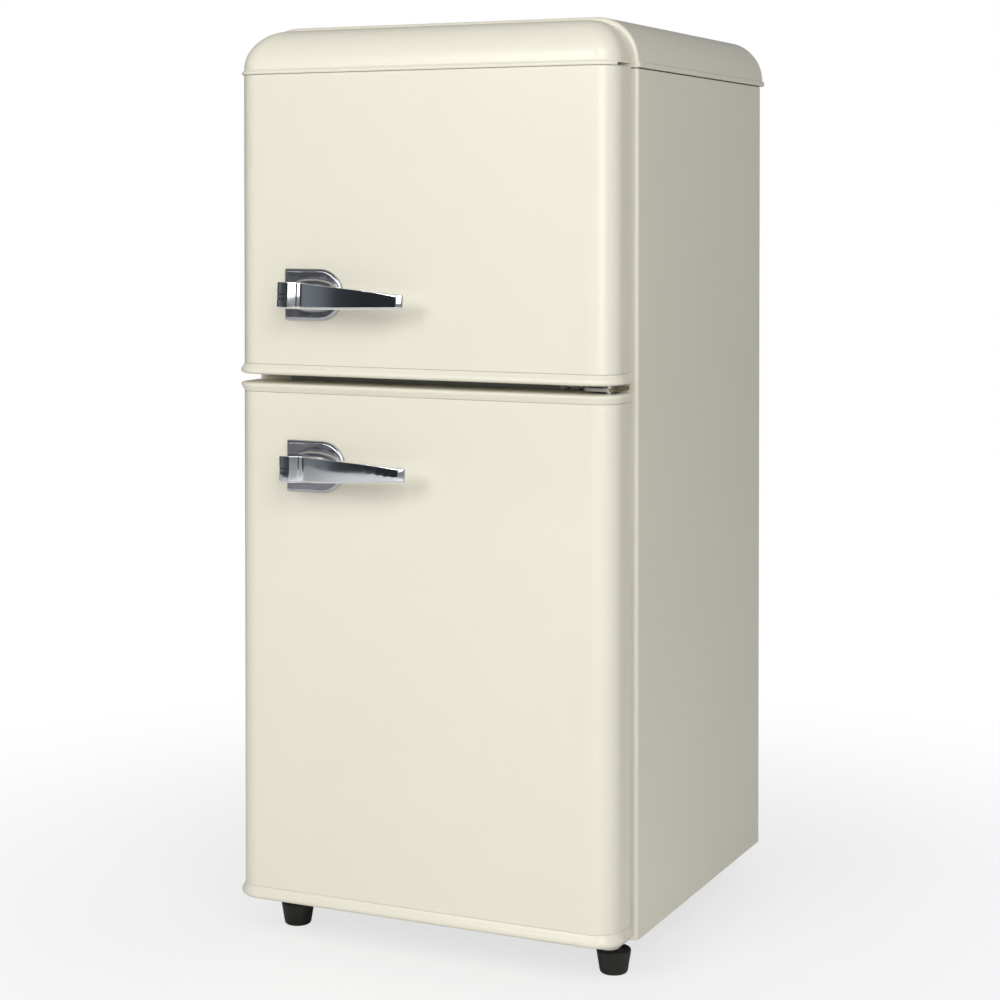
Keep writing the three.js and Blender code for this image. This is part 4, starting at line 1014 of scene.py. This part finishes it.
def condenser():
    y, x, n, z0, pitch, r = 368.0, 150.0, 10, 240.0, 60.0, 2.45
    pts = [(-x - 15, y, z0 - 13.5), (-x - 14, y, z0 - 7), (-x - 8, y, z0 - 1.6), (-x + 1, y, z0)]
    for i in range(n):
        z, s = z0 + i * pitch, (1 if i % 2 == 0 else -1)
        pts.append((-s * (x - 6), y, z))
        pts.append((s * (x - 6), y, z))
        if i < n - 1:
            b = pitch / 2
            pts += [(s * (x + b * 0.45 * math.cos(math.radians(a))), y, z + b + b * math.sin(math.radians(a))) for a in range(-90, 91, 12)]
    finish_mesh("condenser_tube", *sweep(pts, r, 12), m_blacksteel, "cabinet", "condenser_coil", "black_steel", angle=60, weighted=False)
    wires = []
    for i in range(36):
        gx = -147 + i * 294 / 35
        wires.append(sweep([(gx, 371.5, 226), (gx, 371.5, 796)], 0.8, 6))
    finish_mesh("condenser_fins", *join(*wires), m_blacksteel, "cabinet", None, "black_steel", angle=60, weld=False, weighted=False)
    strips = [boxm(-156, 156, 372.2, 373.8, 222.4, 227.6), boxm(-156, 156, 372.2, 373.8, 794.4, 799.6)]
    for gx, gz in [(-120, 225), (120, 225), (-120, 797), (120, 797)]:
        strips.append(prism("X", [(353.0, gz - 2), (372.6, gz - 2), (372.6, gz + 2), (353.0, gz + 2)], gx - 5, gx + 5))
    finish_mesh("condenser_straps", *join(*strips), m_blacksteel, "cabinet", "condenser_wires", "black_steel", bevel=0.3)


condenser()
for i, (sx, sz) in enumerate([(-190, 260), (190, 260), (-190, 520), (190, 520), (-190, 790), (190, 790)]):
    screw(f"back_screw_{i + 1}", sx, DEPTH - 0.05, sz, 3.4, axis=1.0)


# ------------------------------------------------------------------ studio
def stage_plane():
    n, R = 96, 14.0
    verts, faces = [(0, 0, 0)], []
    radii = [0.6, 1.2, 2.0, 3.2, 5.0, 8.0, R]
    for rr in radii:
        verts += [(rr * math.cos(2 * math.pi * i / n), rr * math.sin(2 * math.pi * i / n), 0) for i in range(n)]
    faces += [(0, 1 + i, 1 + (i + 1) % n) for i in range(n)]
    for k in range(len(radii) - 1):
        a, b = 1 + k * n, 1 + (k + 1) * n
        faces += [(a + i, b + i, b + (i + 1) % n, a + (i + 1) % n) for i in range(n)]
    me = bpy.data.meshes.new("floor")
    me.from_pydata(verts, [], faces)
    mt = bpy.data.materials.new("floor")
    mt.use_nodes = True
    t = mt.node_tree
    t.nodes.clear()
    out = t.nodes.new("ShaderNodeOutputMaterial")
    dif = t.nodes.new("ShaderNodeBsdfDiffuse")
    dif.inputs["Color"].default_value = (0.9, 0.9, 0.9, 1)
    em = t.nodes.new("ShaderNodeEmission")
    em.inputs["Color"].default_value = (1, 1, 1, 1)
    em.inputs["Strength"].default_value = 1.0
    mix = t.nodes.new("ShaderNodeMixShader")
    co = t.nodes.new("ShaderNodeTexCoord")
    ln = t.nodes.new("ShaderNodeVectorMath")
    ln.operation = "LENGTH"
    mr = t.nodes.new("ShaderNodeMapRange")
    mr.interpolation_type = "SMOOTHSTEP"
    mr.inputs["From Min"].default_value = 0.1
    mr.inputs["From Max"].default_value = 1.1
    t.links.new(co.outputs["Object"], ln.inputs[0])
    t.links.new(ln.outputs["Value"], mr.inputs["Value"])
    mr.inputs["To Min"].default_value = 0.7
    path = t.nodes.new("ShaderNodeLightPath")
    seen = t.nodes.new("ShaderNodeMath")
    seen.operation = "MULTIPLY"
    t.links.new(mr.outputs["Result"], seen.inputs[0])
    t.links.new(path.outputs["Is Camera Ray"], seen.inputs[1])
    t.links.new(seen.outputs["Value"], mix.inputs["Fac"])
    t.links.new(dif.outputs["BSDF"], mix.inputs[1])
    t.links.new(em.outputs["Emission"], mix.inputs[2])
    t.links.new(mix.outputs["Shader"], out.inputs["Surface"])
    me.materials.append(mt)
    o = bpy.data.objects.new("floor", me)
    bpy.context.scene.collection.objects.link(o)
    return o


stage_plane()

world = bpy.data.worlds.new("studio")
bpy.context.scene.world = world
world.use_nodes = True
wt = world.node_tree
wt.nodes.clear()
wo = wt.nodes.new("ShaderNodeOutputWorld")
bg = wt.nodes.new("ShaderNodeBackground")
bg.inputs["Color"].default_value = (1, 1, 1, 1)
bg.inputs["Strength"].default_value = 1.0
amb = wt.nodes.new("ShaderNodeBackground")
amb.inputs["Color"].default_value = (1.0, 1.0, 1.0, 1)
amb.inputs["Strength"].default_value = 0.25
lp = wt.nodes.new("ShaderNodeLightPath")
mx = wt.nodes.new("ShaderNodeMixShader")
wt.links.new(lp.outputs["Is Camera Ray"], mx.inputs["Fac"])
wt.links.new(amb.outputs["Background"], mx.inputs[1])
wt.links.new(bg.outputs["Background"], mx.inputs[2])
wt.links.new(mx.outputs["Shader"], wo.inputs["Surface"])


def area(name, loc, target, size, power, size_y=None, colour=(1, 1, 1)):
    d = bpy.data.lights.new(name, "AREA")
    d.energy = power
    d.color = colour
    d.shape = "RECTANGLE"
    d.size = size
    d.size_y = size_y or size
    o = bpy.data.objects.new(name, d)
    bpy.context.scene.collection.objects.link(o)
    o.location = loc
    o.rotation_euler = (Vector(target) - Vector(loc)).to_track_quat("-Z", "Y").to_euler()
    return o


area("key", (-0.85, -3.35, 1.75), (0, -0.2, 0.5), 1.5, 27.0, 1.1)
area("key_high", (-0.3, -3.1, 2.5), (0, -0.2, 0.5), 1.5, 15.5, 1.0)
area("fill", (1.75, -2.15, 1.25), (0.1, -0.1, 0.5), 1.5, 19.0, 1.9)
area("fill_high", (1.6, -2.2, 2.3), (0.1, -0.1, 0.6), 1.4, 19.0, 1.0)
area("top", (0.0, 0.6, 3.0), (0, 0, 0.4), 1.6, 1.5)


def card(name, pts, colour, stops):
    """A studio card seen only in reflections; stops are (x, strength) along it."""
    me = bpy.data.meshes.new(name)
    me.from_pydata(pts, [], [(0, 1, 2, 3)])
    mt = bpy.data.materials.new(name)
    mt.use_nodes = True
    t = mt.node_tree
    t.nodes.clear()
    out = t.nodes.new("ShaderNodeOutputMaterial")
    em = t.nodes.new("ShaderNodeEmission")
    em.inputs["Color"].default_value = colour
    co = t.nodes.new("ShaderNodeTexCoord")
    sep = t.nodes.new("ShaderNodeSeparateXYZ")
    mr = t.nodes.new("ShaderNodeMapRange")
    x0, x1 = min(p[0] for p in pts), max(p[0] for p in pts)
    mr.inputs["From Min"].default_value = x0
    mr.inputs["From Max"].default_value = x1
    ramp = t.nodes.new("ShaderNodeValToRGB")
    el = ramp.color_ramp.elements
    for i, (x, v) in enumerate(stops):
        e = el[i] if i < 2 else el.new((x - x0) / (x1 - x0))
        e.position = (x - x0) / (x1 - x0)
        e.color = (v, v, v, 1)
    t.links.new(co.outputs["Object"], sep.inputs[0])
    t.links.new(sep.outputs["X"], mr.inputs["Value"])
    t.links.new(mr.outputs["Result"], ramp.inputs["Fac"])
    t.links.new(ramp.outputs["Color"], em.inputs["Strength"])
    t.links.new(em.outputs["Emission"], out.inputs["Surface"])
    me.materials.append(mt)
    o = bpy.data.objects.new(name, me)
    bpy.context.scene.collection.objects.link(o)
    o.visible_camera = False
    o.visible_diffuse = False
    o.visible_shadow = False
    o.visible_transmission = False
    return o


card("flag_front", [(-3.6, -2.2, -0.02), (0.3, -3.9, -0.02), (0.3, -3.9, 1.5), (-3.6, -2.2, 1.5)], (0.90, 0.98, 1.08, 1),
     [(-3.6, 0.22), (0.3, 0.026), (-2.6, 0.16), (-2.35, 0.13), (-1.9, 0.05), (-1.55, 0.028)])
card("flag_left", [(-3.6, -2.2, -0.02), (-3.6, -2.2, 1.5), (-3.75, 3.0, 1.5), (-3.75, 3.0, -0.02)], (0.95, 1.0, 1.05, 1),
     [(-3.75, 0.03), (-3.6, 0.03)])
card("flag_roof", [(-2.6, -3.6, 2.3), (1.6, -3.6, 2.3), (1.6, -0.2, 3.2), (-2.6, -0.2, 3.2)], (0.97, 1.0, 1.04, 1),
     [(-2.6, 0.10), (1.6, 0.10)])
